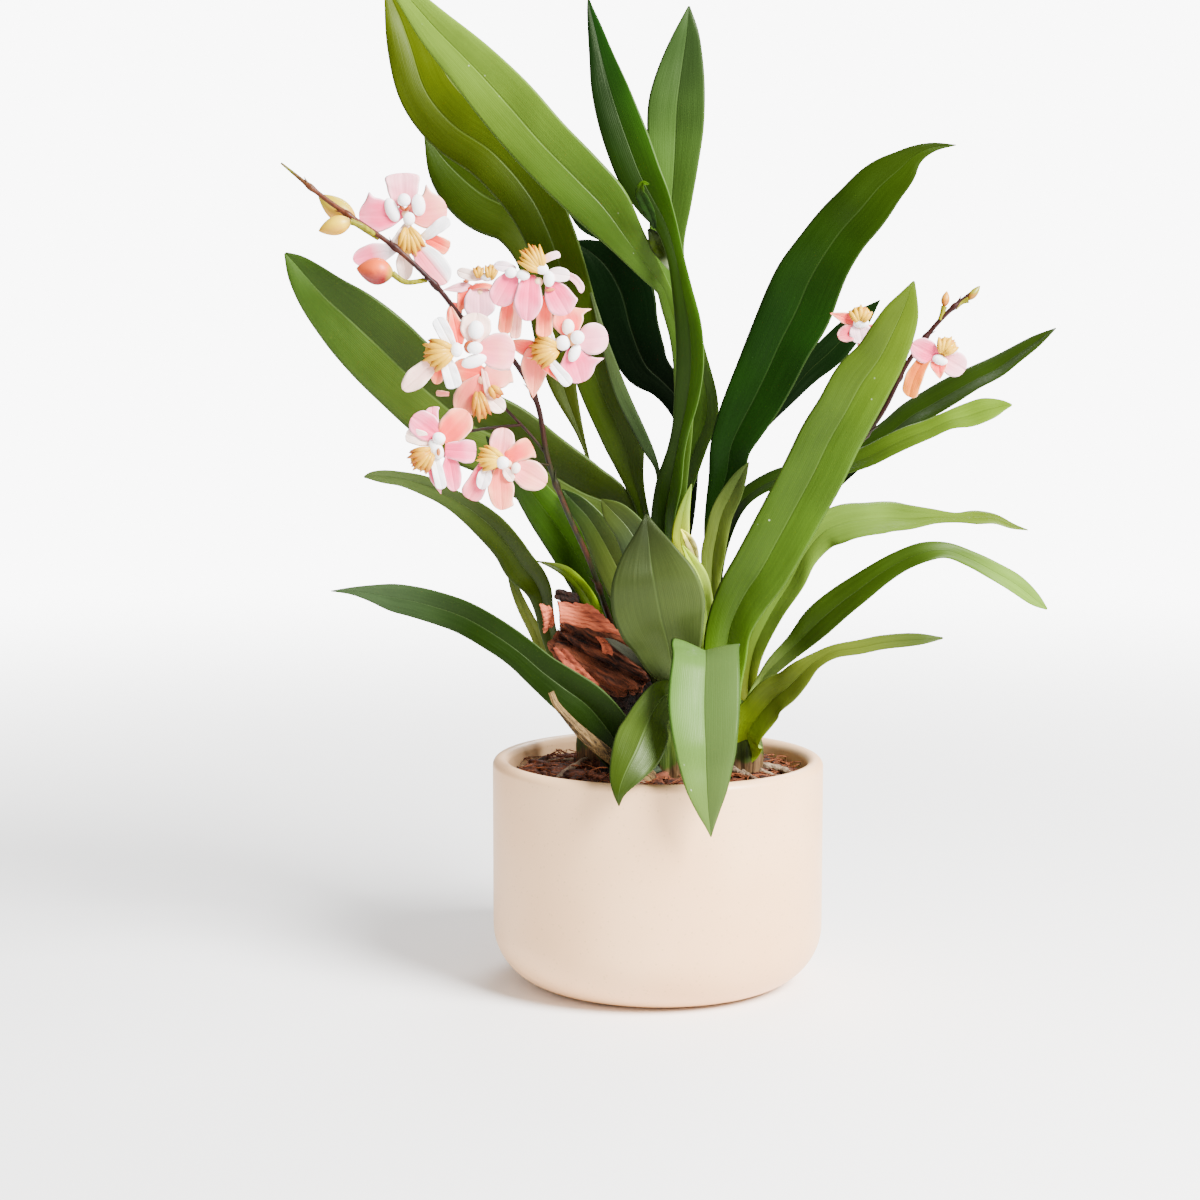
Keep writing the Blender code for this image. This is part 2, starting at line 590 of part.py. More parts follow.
def bloom_frame(bloom):
    """The bloom's place: X to its right, Y to its top sepal and Z out of its face."""
    middle = seen(bloom["at"])
    facing = (EYE - middle).normalized()
    right = Vector((0.0, 0.0, 1.0)).cross(facing).normalized()
    axes = Matrix((right, facing.cross(right), facing)).transposed().to_4x4()
    spin = Matrix.Rotation(math.radians(bloom["lip"] + 90), 4, "Z")
    lean = Euler((math.radians(bloom["tilt"]), math.radians(bloom["pan"]), 0.0)).to_matrix().to_4x4()
    return Matrix.Translation(middle) @ axes @ spin @ lean @ Matrix.Scale(bloom["size"], 4)


def lip_height(y):
    """How far the lip stands forward, y mm below the bloom's middle."""
    share = y / LIP["length"]
    return LIP["height"] + LIP["rise"] * math.sin(math.pi * min(share, 1.0) * 0.9) - LIP["drop"] * share**3


def put(piece, place):
    """Moves the points of a piece into place."""
    piece.data.transform(place)
    return piece


def make_lip():
    """The lip: a narrow waist that widens into two round lobes."""
    rows = []
    for down in (0.0, 0.4, 0.8, 1.0):
        row = []
        for across in (-1.0, -0.5, 0.0, 0.5, 1.0):
            opened = math.sin(math.pi / 2 * min(down / LIP["widest"], 1.0)) ** 2
            swell = LIP["waist"] + (1.0 - LIP["waist"]) * opened
            if down > LIP["widest"]:
                swell *= LIP["tip"]
            reach = LIP["length"] * down * (1.0 - LIP["notch"] * down * (1.0 - abs(across)) ** 2)
            y = LIP["start"] + reach
            height = lip_height(y) - LIP["edge_drop"] * abs(across) * down
            row.append((0.5 * LIP["width"] * swell * across, -y, height))
        rows.append(row)
    return sheet(np.array(rows) * MM, PETAL_THICKNESS)


def make_crest(name, place):
    """The yellow crest of a bloom: a ridged fan that lies on the lip."""
    off = 0.5 * (PETAL_THICKNESS / MM + CREST["wall"]) + CREST["gap"] * GAP / MM
    rows = []
    for down in (0.0, 0.5, 1.0):
        row = []
        for step in range(-3, 4):
            across = step / 3
            x = 0.5 * CREST["width"] * across * (0.5 + 0.5 * math.sin(down * math.pi * 0.62))
            y = CREST["start"] + CREST["length"] * down * (1.0 - 0.2 * across**2)
            ridge = 0.5 + 0.5 * math.cos(across * math.pi * CREST["ridges"])
            lift = CREST["height"] * math.sin(math.pi * (0.15 + 0.7 * down)) * (0.4 + 0.6 * ridge)
            row.append((x, -y, lip_height(y) + off + lift))
        rows.append(row)
    piece = sheet(np.array(rows) * MM, CREST["wall"] * MM)
    piece.data = baked(piece)
    piece.modifiers.clear()
    put(piece, place)
    piece.name = name
    piece.data.materials.clear()
    piece.data.materials.append(look("crest"))
    return piece


def make_bloom(name, bloom):
    """A flower: sepals, petals, lip and column as one body, and its crest as another."""
    place = bloom_frame(bloom)
    column = [value * MM for value in COLUMN["half"]]
    pieces = [ball((0.0, COLUMN["raised"] * MM, column[2] - COLUMN["back"] * MM), column, 6, 6)]
    for angle, start, length, width, (low, middle, end), stem in PETALS.values():
        out = Vector((math.cos(math.radians(angle)), math.sin(math.radians(angle)), 0.0))
        up = Vector((0.0, 0.0, 1.0))
        points = [out * start + up * low, out * (start + 0.5 * length) + up * middle,
                  out * (start + length) + up * end]
        pieces.append(blade([point * MM for point in points], (0.0, 0.0, 1.0), width * MM, 0.62, stem, (0, 0),
                            PETAL_FOLD, PETAL_THICKNESS, 4, 3, taper=2.4, rounding=0.55))
    pieces.append(make_lip())
    for piece in pieces:
        piece.data = baked(piece)
        piece.modifiers.clear()
        put(piece, place)
    make_crest(name.replace("bloom", "crest"), place)
    return fuse(name, pieces, "petal", "MANIFOLD")


def stalk_end(bloom):
    """The last two points of a bloom's stalk, straight behind the bloom and just clear of its back."""
    place = bloom_frame(bloom)
    back = COLUMN["back"] * MM
    return [place @ Vector((0.0, 0.0, -back - STALK_RUN)), place @ Vector((0.0, 0.0, -back - GAP / bloom["size"]))]


def bud_frame(bud):
    """The bud's place, with X from its stalk to its point."""
    middle = seen(bud["at"])
    angle = math.radians(bud["lean"])
    along = (UPWARD * math.sin(angle) + Vector((math.cos(angle), 0.0, 0.0))).normalized()
    across = along.cross(FORWARD).normalized()
    return Matrix.Translation(middle) @ Matrix((along, across, along.cross(across))).transposed().to_4x4()


def make_bud(name, bud):
    """A closed bud."""
    length, width = (value * MM for value in bud["half"])
    piece = put(ball((0.0, 0.0, 0.0), (length, width, width), 8, 8), bud_frame(bud))
    piece.name = name
    piece.data.materials.clear()
    piece.data.materials.append(look(bud["look"]))
    return piece


def make_lump(bark):
    """A rough piece of bark: a box with rounded corners, ridged along its length."""
    half = [value * MM for value in bark["half"]]
    piece = ball((0.0, 0.0, 0.0), (1.0, 1.0, 1.0), 16, 8)
    for vert in piece.data.vertices:
        x, y, z = vert.co
        boxy = (abs(x) ** 3.2 + abs(y) ** 3.2 + abs(z) ** 3.2) ** (-1 / 3.2)
        angle = math.atan2(z, y)
        ridge = math.sin(bark["ridges"] * angle + 2.2 * x) + 0.5 * math.sin(7.0 * x + 3.0 * angle)
        size = boxy * (1.0 + bark["rough"] * ridge * (1.0 - 0.6 * x * x))
        vert.co = (x * size * half[0], y * size * half[1], z * size * half[2])
    turned = Matrix.Rotation(math.radians(-bark["turn"]), 4, "Y")
    return put(piece, Matrix.Translation(seen(bark["at"])) @ turned)


def make_flake(corners):
    """A thin curled flake of bark between four corners."""
    first, second, third, fourth = (np.array(seen(corner)) for corner in corners)
    u = np.linspace(0.0, 1.0, 5)[None, :, None]
    v = np.linspace(0.0, 1.0, 3)[:, None, None]
    grid = (1 - v) * ((1 - u) * first + u * second) + v * ((1 - u) * third + u * fourth)
    grid = grid + np.array([0.0, -1.0, 0.0]) * FLAKE_CURL * np.sin(np.pi * v) * (1.0 - 0.4 * u)
    return sheet(grid, FLAKE_THICKNESS)


def make_bark():
    """The bark beside the plant: a dark base in the mix and a ridged chunk with pale flakes on it."""
    chunk = make_lump(BARK["bark_chunk"])
    flakes = [make_flake(corners) for corners in FLAKES.values()]
    chunk = fuse("bark_chunk", [chunk] + flakes, "bark")
    base = make_lump(BARK["bark_base"])
    lower = ball(seen(LOWER_LUMP["at"]), [value * MM for value in LOWER_LUMP["half"]], 8, 6)
    base = fuse("bark_base", [base, lower], "bark")
    combine(base, [grown(chunk, GAP)], "DIFFERENCE")
    merge(base)
    return base


def make_stub():
    """The dried sheath of an old growth."""
    piece = tube([seen(reading) for reading in reversed(STUB["route"])], STUB["radius"], STUB["top_radius"], 12)
    piece.name = "dry_stub"
    merge(piece)
    piece.data.materials.clear()
    piece.data.materials.append(look("dry_husk"))
    return piece


def make_spray(name, spray):
    """The main stem of a spray with the stalks of its blooms and buds, as one body."""
    x, y = (value * MM for value in spray["foot"])
    points = [Vector((x, y, STEM_FOOT))] + [seen(reading) for reading in spray["stem"]]
    pieces = [tube(points, STEM_RADIUS, TWIG_RADIUS, 26)]
    for bloom in BLOOMS.values():
        if bloom["spray"] == name:
            points = [seen(reading) for reading in bloom["stalk"]] + stalk_end(bloom)
            pieces.append(tube(points, TWIG_RADIUS, TWIG_RADIUS, 7, bevel=0))
    for bud in BUDS.values():
        if bud["spray"] == name:
            end = bud_frame(bud) @ Vector((-bud["half"][0] * MM - GAP, 0.0, 0.0))
            points = [seen(reading) for reading in bud["stalk"]] + [end]
            pieces.append(tube(points, TWIG_RADIUS, TWIG_RADIUS, 5, bevel=0))
    return fuse(name, pieces, "stem")


def main():
    """Builds the whole object."""
    for piece in list(bpy.data.objects):
        bpy.data.objects.remove(piece)
    make_pot()
    standing = [make_bark(), make_stub()]
    for name, growth in GROWTHS.items():
        make_growth(name, growth)
    for name, spray in SPRAYS.items():
        standing.append(make_spray(name, spray))
    for name, bloom in BLOOMS.items():
        make_bloom(name, bloom)
    for name, bud in BUDS.items():
        make_bud(name, bud)
    holes = [grown(piece, GAP) for piece in standing]
    for growth in GROWTHS.values():
        x, y, half_x, half_y = (value * MM for value in growth["bulb"])
        radii = (half_x + GAP, half_y + GAP, BULB_HALF_HEIGHT + GAP)
        holes.append(ball((x, y, BULB_MIDDLE), radii, BULB_SEGMENTS, BULB_RINGS))
    make_mix(holes)


main()
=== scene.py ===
import math

import bpy
import numpy as np
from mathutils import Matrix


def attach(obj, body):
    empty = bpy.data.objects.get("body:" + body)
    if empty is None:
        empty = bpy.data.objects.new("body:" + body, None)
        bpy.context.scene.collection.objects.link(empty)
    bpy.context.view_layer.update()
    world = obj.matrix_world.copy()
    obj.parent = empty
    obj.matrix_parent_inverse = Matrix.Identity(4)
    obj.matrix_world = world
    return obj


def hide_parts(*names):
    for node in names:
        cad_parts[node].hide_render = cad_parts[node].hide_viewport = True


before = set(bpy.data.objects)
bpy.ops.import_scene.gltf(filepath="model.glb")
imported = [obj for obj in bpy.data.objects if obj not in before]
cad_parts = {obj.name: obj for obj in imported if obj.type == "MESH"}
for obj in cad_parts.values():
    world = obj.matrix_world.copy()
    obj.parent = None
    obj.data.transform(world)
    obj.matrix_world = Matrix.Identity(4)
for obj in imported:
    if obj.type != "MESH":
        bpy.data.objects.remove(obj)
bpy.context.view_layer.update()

mm = 0.001
chance = np.random.default_rng(11)  # one seeded source for all the small irregularities


# ---- reading the picture

view = {
    "picture": 1200, "middle": 600, "focal": 2352,  # picture steps: its width, its centre, the lens's distance
    "sensor": 36,                                   # millimetres across
    "distance": 0.850, "pitch": 6.2,                # metres to the aim, degrees downward
    "aim": (-0.021, 0.0, 0.139),
}
pitch = math.radians(view["pitch"])
forward = np.array([0.0, math.cos(pitch), -math.sin(pitch)])
upward = np.array([0.0, math.sin(pitch), math.cos(pitch)])
rightward = np.array([1.0, 0.0, 0.0])
eye = np.array(view["aim"]) - view["distance"] * forward


def seenPoints(readings):
    # the place of a reading (across, down, depth): where the line of sight meets the upright plane
    # that many millimetres behind the pot's axis
    reading = np.atleast_2d(np.asarray(readings, float))
    sight = (forward + (reading[:, :1] - view["middle"]) / view["focal"] * rightward
             + (view["middle"] - reading[:, 1:2]) / view["focal"] * upward)
    reach = (reading[:, 2] * mm - eye[1]) / sight[:, 1]
    return eye + reach[:, None] * sight


def addCamera():
    lens = bpy.data.cameras.new("camera")
    lens.sensor_width = view["sensor"]
    lens.lens = view["sensor"] * view["focal"] / view["picture"]
    camera = bpy.data.objects.new("camera", lens)
    camera.location = tuple(eye)
    camera.rotation_euler = (math.radians(90 - view["pitch"]), 0, 0)
    bpy.context.scene.collection.objects.link(camera)
    bpy.context.scene.camera = camera


addCamera()
print("camera ready")


# ---- shapes worked out on grids

def unit(vectors):
    # each row divided by its length
    return vectors / np.maximum(np.linalg.norm(vectors, axis=-1, keepdims=True), 1e-12)


def smoothRoute(points, count, crowd=1.0):
    # points evenly along a cubic curve through the given ones, whose slopes come from their neighbours;
    # crowd above 1 draws the points towards the far end, and any further columns are carried along
    points = np.asarray(points, float)
    knots = np.concatenate([[0], np.cumsum(np.linalg.norm(np.diff(points[:, :3], axis=0), axis=1) ** 0.5)])
    slopes = np.gradient(points, knots, axis=0)
    fine = np.linspace(0, knots[-1], 40 * len(points))
    span = np.clip(np.searchsorted(knots, fine, side="right") - 1, 0, len(points) - 2)
    size = (knots[span + 1] - knots[span])[:, None]
    u = (fine - knots[span])[:, None] / size
    curve = ((2 * u**3 - 3 * u**2 + 1) * points[span] + (u**3 - 2 * u**2 + u) * size * slopes[span]
             + (3 * u**2 - 2 * u**3) * points[span + 1] + (u**3 - u**2) * size * slopes[span + 1])
    for step in range(30):  # softens the bends and keeps both ends
        curve[1:-1] = 0.25 * curve[:-2] + 0.5 * curve[1:-1] + 0.25 * curve[2:]
    length = np.concatenate([[0], np.cumsum(np.linalg.norm(np.diff(curve[:, :3], axis=0), axis=1))])
    share = 1 - (1 - np.linspace(0, 1, count)) ** crowd
    return np.column_stack([np.interp(share * length[-1], length, values) for values in curve.T]), share


def closedMesh(name, rings, marks=None, flat=0):
    # a closed skin over rows of rings: neighbouring rings are joined by four-sided faces, and a fan
    # closes each end, or a strip from front to back where flat gives the points across the front;
    # marks are numbers for each point, and "uv" holds a pair
    rows, around = rings.shape[:2]
    corner = np.arange(rows * around).reshape(rows, around)
    beside = np.roll(corner, -1, axis=1)
    sides = np.stack([corner[:-1], beside[:-1], beside[1:], corner[1:]], axis=-1).reshape(-1, 4)
    first, last = rows * around, rows * around + 1
    points = np.concatenate([rings.reshape(-1, 3), rings[0].mean(0)[None], rings[-1].mean(0)[None]])
    starts = np.stack([beside[0], corner[0], np.full(around, first)], axis=-1)
    ends = np.stack([corner[-1], beside[-1], np.full(around, last)], axis=-1)
    a, b, c, d = (points[sides[:, k]] for k in range(4))
    volume = np.einsum("ij,ij->", a, np.cross(b, c)) + np.einsum("ij,ij->", a, np.cross(c, d))
    faces = [sides, starts, ends]
    if flat:
        points = points[:-2]
        left = np.arange(1, flat - 2)
        strip = np.stack([left, left + 1, around - left - 1, around - left], axis=-1)
        tips = np.array([[0, 1, around - 1], [flat - 2, flat - 1, flat]])
        faces = [sides, strip[:, ::-1], tips[:, ::-1], strip + (rows - 1) * around, tips + (rows - 1) * around]
    if volume < 0:  # faces outward
        faces = [face[:, ::-1] for face in faces]
    mesh = bpy.data.meshes.new(name)
    mesh.from_pydata(points.tolist(), [], [face for part in faces for face in part.tolist()])
    mesh.polygons.foreach_set("use_smooth", np.ones(len(mesh.polygons), bool))
    for key, values in (marks or {}).items():
        values = np.asarray(values, float).reshape(rows * around, -1)
        if not flat:
            values = np.concatenate([values, values[:around].mean(0)[None], values[-around:].mean(0)[None]])
        if key == "uv":
            corners = np.zeros(len(mesh.loops), int)
            mesh.loops.foreach_get("vertex_index", corners)
            mesh.uv_layers.new(name="uv").data.foreach_set("uv", values[corners].ravel())
        else:
            mesh.attributes.new(key, "FLOAT", "POINT").data.foreach_set("value", values.ravel())
    return mesh


def joined(name, meshes):
    # several meshes as one, with their marks
    pieces = [bpy.data.objects.new("part", mesh) for mesh in meshes]
    for piece in pieces:
        bpy.context.scene.collection.objects.link(piece)
    with bpy.context.temp_override(active_object=pieces[0], selected_editable_objects=pieces):
        bpy.ops.object.join()
    mesh = pieces[0].data
    bpy.data.objects.remove(pieces[0])
    mesh.name = name
    return mesh


def addPiece(name, mesh, material, nodes):
    # a finished piece: it rides on the part's one body and stands for the solids named
    piece = bpy.data.objects.new(name, mesh)
    mesh.name = name
    mesh.materials.clear()
    mesh.materials.append(material)
    bpy.context.scene.collection.objects.link(piece)
    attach(piece, "root")
    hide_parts(*nodes)


def bladeMesh(name, spine, share, side, face, half, lift, thickness, columns):
    # a thin closed blade: spine + side * half * reach + face * lift, with half the thickness added on
    # the front and taken off on the back, and both running out to nothing at the margins
    across = np.linspace(-1, 1, columns)
    across = np.sign(across) * np.abs(across) ** 1.25
    reach, height = lift(share[:, None], across[None, :])
    grid = spine[:, None] + side[:, None] * (half[:, None] * reach)[..., None] + face[:, None] * height[..., None]
    normal = unit(np.cross(np.gradient(grid, axis=1), np.gradient(grid, axis=0)))
    normal *= np.sign(np.sum(normal * face[:, None], axis=-1, keepdims=True) + 1e-9)
    wall = thickness * (1 - np.abs(across) ** 6)[None, :, None] * 0.5
    wall = wall * np.minimum(1, half[:, None, None] / (3 * thickness) + 0.1)
    front, back = grid + normal * wall, grid - normal * wall
    rings = np.concatenate([front, back[:, -2:0:-1]], axis=1)
    u = np.concatenate([across, across[-2:0:-1]]) * 0.5 + 0.5
    under = np.concatenate([np.zeros(columns), np.ones(columns - 2)])
    marks = {"uv": np.stack(np.broadcast_arrays(u[None, :], share[:, None]), axis=-1),
             "under": np.broadcast_to(under, (len(share), len(under)))}
    return closedMesh(name, rings, marks, columns)


def tubeMesh(name, points, radius, count, around=10, lean=(0, 1, 0)):
    # a round stem: the route's point + radius(share) * (cos, sin) in the two directions across it
    spine, share = smoothRoute(points, count)
    along = unit(np.gradient(spine, axis=0))
    side = unit(np.cross(along, np.asarray(lean, float)))
    other = np.cross(along, side)
    angle = np.linspace(0, 2 * np.pi, around, endpoint=False)
    size = np.broadcast_to(radius(share), share.shape)[:, None, None]
    rings = spine[:, None] + size * (np.cos(angle)[:, None] * side[:, None] + np.sin(angle)[:, None] * other[:, None])
    marks = {"uv": np.stack(np.broadcast_arrays(angle[None, :] / (2 * np.pi), share[:, None]), axis=-1)}
    return closedMesh(name, rings, marks)


def turnedMesh(name, outline, around):
    # an outline of (radius, height) swept round the upright axis; it starts and ends on the axis
    outline = np.asarray(outline, float)
    angle = np.linspace(0, 2 * np.pi, around, endpoint=False)
    rings = np.stack([outline[:, :1] * np.cos(angle), outline[:, :1] * np.sin(angle),
                      np.repeat(outline[:, 1:2], around, axis=1)], axis=-1)
    return closedMesh(name, rings)


# ---- building materials

def colour(red, green, blue):
    # a colour read as 0 to 255, in the linear values that sockets take
    value = np.array([red, green, blue]) / 255
    return (*np.where(value <= 0.04045, value / 12.92, ((value + 0.055) / 1.055) ** 2.4), 1.0)


def fillInputs(tree, node, inputs):
    # each input linked to a socket or set to a value
    for key, value in inputs.items():
        if isinstance(value, bpy.types.NodeSocket):
            tree.links.new(value, node.inputs[key])
        else:
            node.inputs[key].default_value = value


def addNode(tree, kind, inputs=None, out=0, **settings):
    # a node with its settings and inputs; gives one of its outputs
    made = tree.nodes.new("ShaderNode" + kind)
    for key, value in settings.items():
        setattr(made, key, value)
    fillInputs(tree, made, inputs or {})
    return made.outputs[out]


def sums(tree, operation, first, second=0.0, third=0.0):
    return addNode(tree, "Math", {0: first, 1: second, 2: third}, operation=operation)


def mixed(tree, share, first, second, mode="MIX"):
    return addNode(tree, "Mix", {0: share, 6: first, 7: second}, out=2, data_type="RGBA", blend_type=mode)


def between(tree, value, low, high, least=0.0, most=1.0):
    # value eased from least at low to most at high
    return addNode(tree, "MapRange", {0: value, 1: low, 2: high, 3: least, 4: most}, interpolation_type="SMOOTHSTEP")


def noise(tree, vector, scale, detail=3.0):
    return addNode(tree, "TexNoise", {"Vector": vector, "Scale": scale, "Detail": detail})


def newGroup(name, inputs, outputs):
    kinds = {float: "NodeSocketFloat", tuple: "NodeSocketColor", str: "NodeSocketVector"}
    tree = bpy.data.node_groups.new(name, "ShaderNodeTree")
    for key, value in inputs.items():
        socket = tree.interface.new_socket(name=key, in_out="INPUT", socket_type=kinds[type(value)])
        if not isinstance(value, str):
            socket.default_value = value
    for key, value in outputs.items():
        tree.interface.new_socket(name=key, in_out="OUTPUT", socket_type=kinds[value])
    given = tree.nodes.new("NodeGroupInput").outputs
    taken = tree.nodes.new("NodeGroupOutput").inputs
    return tree, given, taken


def useGroup(tree, name, inputs):
    made = tree.nodes.new("ShaderNodeGroup")
    made.node_tree = bpy.data.node_groups[name]
    fillInputs(tree, made, inputs)
    return made.outputs


def newMaterial(name, **sockets):
    material = bpy.data.materials.new(name)
    material.use_nodes = True
    tree = material.node_tree
    shader = tree.nodes["Principled BSDF"]
    for key, value in sockets.items():
        shader.inputs[key.replace("_", " ")].default_value = value
    return material, tree, shader


def feed(tree, shader, paint=None, roughness=None, height=None, depth=0.0002, strength=1.0):
    # joins worked-out values to the surface
    if paint is not None:
        tree.links.new(paint, shader.inputs["Base Color"])
    if roughness is not None:
        tree.links.new(roughness, shader.inputs["Roughness"])
    if height is not None:
        bump = addNode(tree, "Bump", {"Height": height, "Distance": depth, "Strength": strength})
        tree.links.new(bump, shader.inputs["Normal"])


def makeBladeGroup():
    # colour and relief of a leaf: fine veins that run lengthwise and meet at the tip, a midrib, a pale
    # margin, a yellowish foot, soft blotches and painted light and shade on each half by Left and Right; Across is 0
    # to 1 and Along is 0 at the foot
    tree, given, taken = newGroup("leafBlade", {
        "Across": 0.5, "Along": 0.5, "Under": 0.0, "Width": 20.0, "Length": 200.0,
        "Foot": (0.3, 0.35, 0.1, 1), "Body": (0.1, 0.2, 0.05, 1), "Tip": (0.2, 0.3, 0.1, 1),
        "Left": 1.0, "Right": 1.0, "Rib": 0.3, "Margin": 0.3, "Veins": 30.0, "Specks": 0.0,
    }, {"Colour": tuple, "Height": float, "Roughness": float})
    across, along = given["Across"], given["Along"]
    edge = sums(tree, "ABSOLUTE", sums(tree, "MULTIPLY_ADD", across, 2.0, -1.0))
    place = addNode(tree, "CombineXYZ", {0: sums(tree, "MULTIPLY", across, given["Width"]),
                                         1: sums(tree, "MULTIPLY", along, given["Length"]),
                                         2: given["Under"]})
    stretched = addNode(tree, "Mapping", {"Vector": place, "Scale": (1.0, 0.05, 1.0)})
    streak = noise(tree, stretched, 0.9, 4.0)
    blotch = noise(tree, place, 0.035, 2.0)
    fine = noise(tree, place, 1.6, 2.0)
    veins = sums(tree, "MULTIPLY", across, sums(tree, "MULTIPLY", given["Veins"], 6.28))
    line = sums(tree, "SINE", sums(tree, "ADD", veins, sums(tree, "MULTIPLY", streak, 5.0)))
    paint = mixed(tree, between(tree, along, 0.06, 0.34), given["Foot"], given["Body"])
    paint = mixed(tree, between(tree, along, 0.62, 0.98), paint, given["Tip"])
    # painted light and shade: Left and Right make the two halves lighter or darker; streaks, blotches and veins then
    # vary the tone
    tone = addNode(tree, "Mix", {0: between(tree, across, 0.47, 0.53), 2: given["Left"], 3: given["Right"]})
    tone = sums(tree, "MULTIPLY", tone, between(tree, streak, 0.2, 0.8, 0.9, 1.1))
    tone = sums(tree, "MULTIPLY", tone, between(tree, blotch, 0.25, 0.75, 0.85, 1.15))
    tone = sums(tree, "MULTIPLY", tone, between(tree, line, -1.0, 1.0, 0.975, 1.025))
    shade = addNode(tree, "CombineColor", {0: tone, 1: tone, 2: tone})
    paint = mixed(tree, 1.0, paint, shade, "MULTIPLY")
    pale = mixed(tree, 0.6, given["Tip"], (0.18, 0.28, 0.08, 1))
    rib = sums(tree, "MULTIPLY", between(tree, edge, 0.0, 0.05, 0.4, 0.0), given["Rib"])
    paint = mixed(tree, rib, paint, pale)
    margin = sums(tree, "MULTIPLY", between(tree, edge, 0.93, 1.0, 0.0, 0.65), given["Margin"])
    paint = mixed(tree, margin, paint, pale)
    paint = mixed(tree, sums(tree, "MULTIPLY", given["Under"], 0.45), paint, pale)
    dots = addNode(tree, "TexVoronoi", {"Vector": place, "Scale": 0.17}, feature="F1")
    speck = sums(tree, "MULTIPLY", between(tree, dots, 0.03, 0.08, 1.0, 0.0), given["Specks"])
    speck = sums(tree, "MULTIPLY", speck, between(tree, blotch, 0.45, 0.6))
    paint = mixed(tree, speck, paint, (0.4, 0.48, 0.3, 1))
    tree.links.new(paint, taken["Colour"])
    height = sums(tree, "MULTIPLY_ADD", line, 0.06, sums(tree, "MULTIPLY", streak, 0.5))
    height = sums(tree, "ADD", height, sums(tree, "MULTIPLY", fine, 0.25))
    height = sums(tree, "SUBTRACT", height, between(tree, edge, 0.0, 0.06, 1.2, 0.0))
    tree.links.new(height, taken["Height"])
    tree.links.new(between(tree, streak, 0.2, 0.8, 0.30, 0.46), taken["Roughness"])


makeBladeGroup()
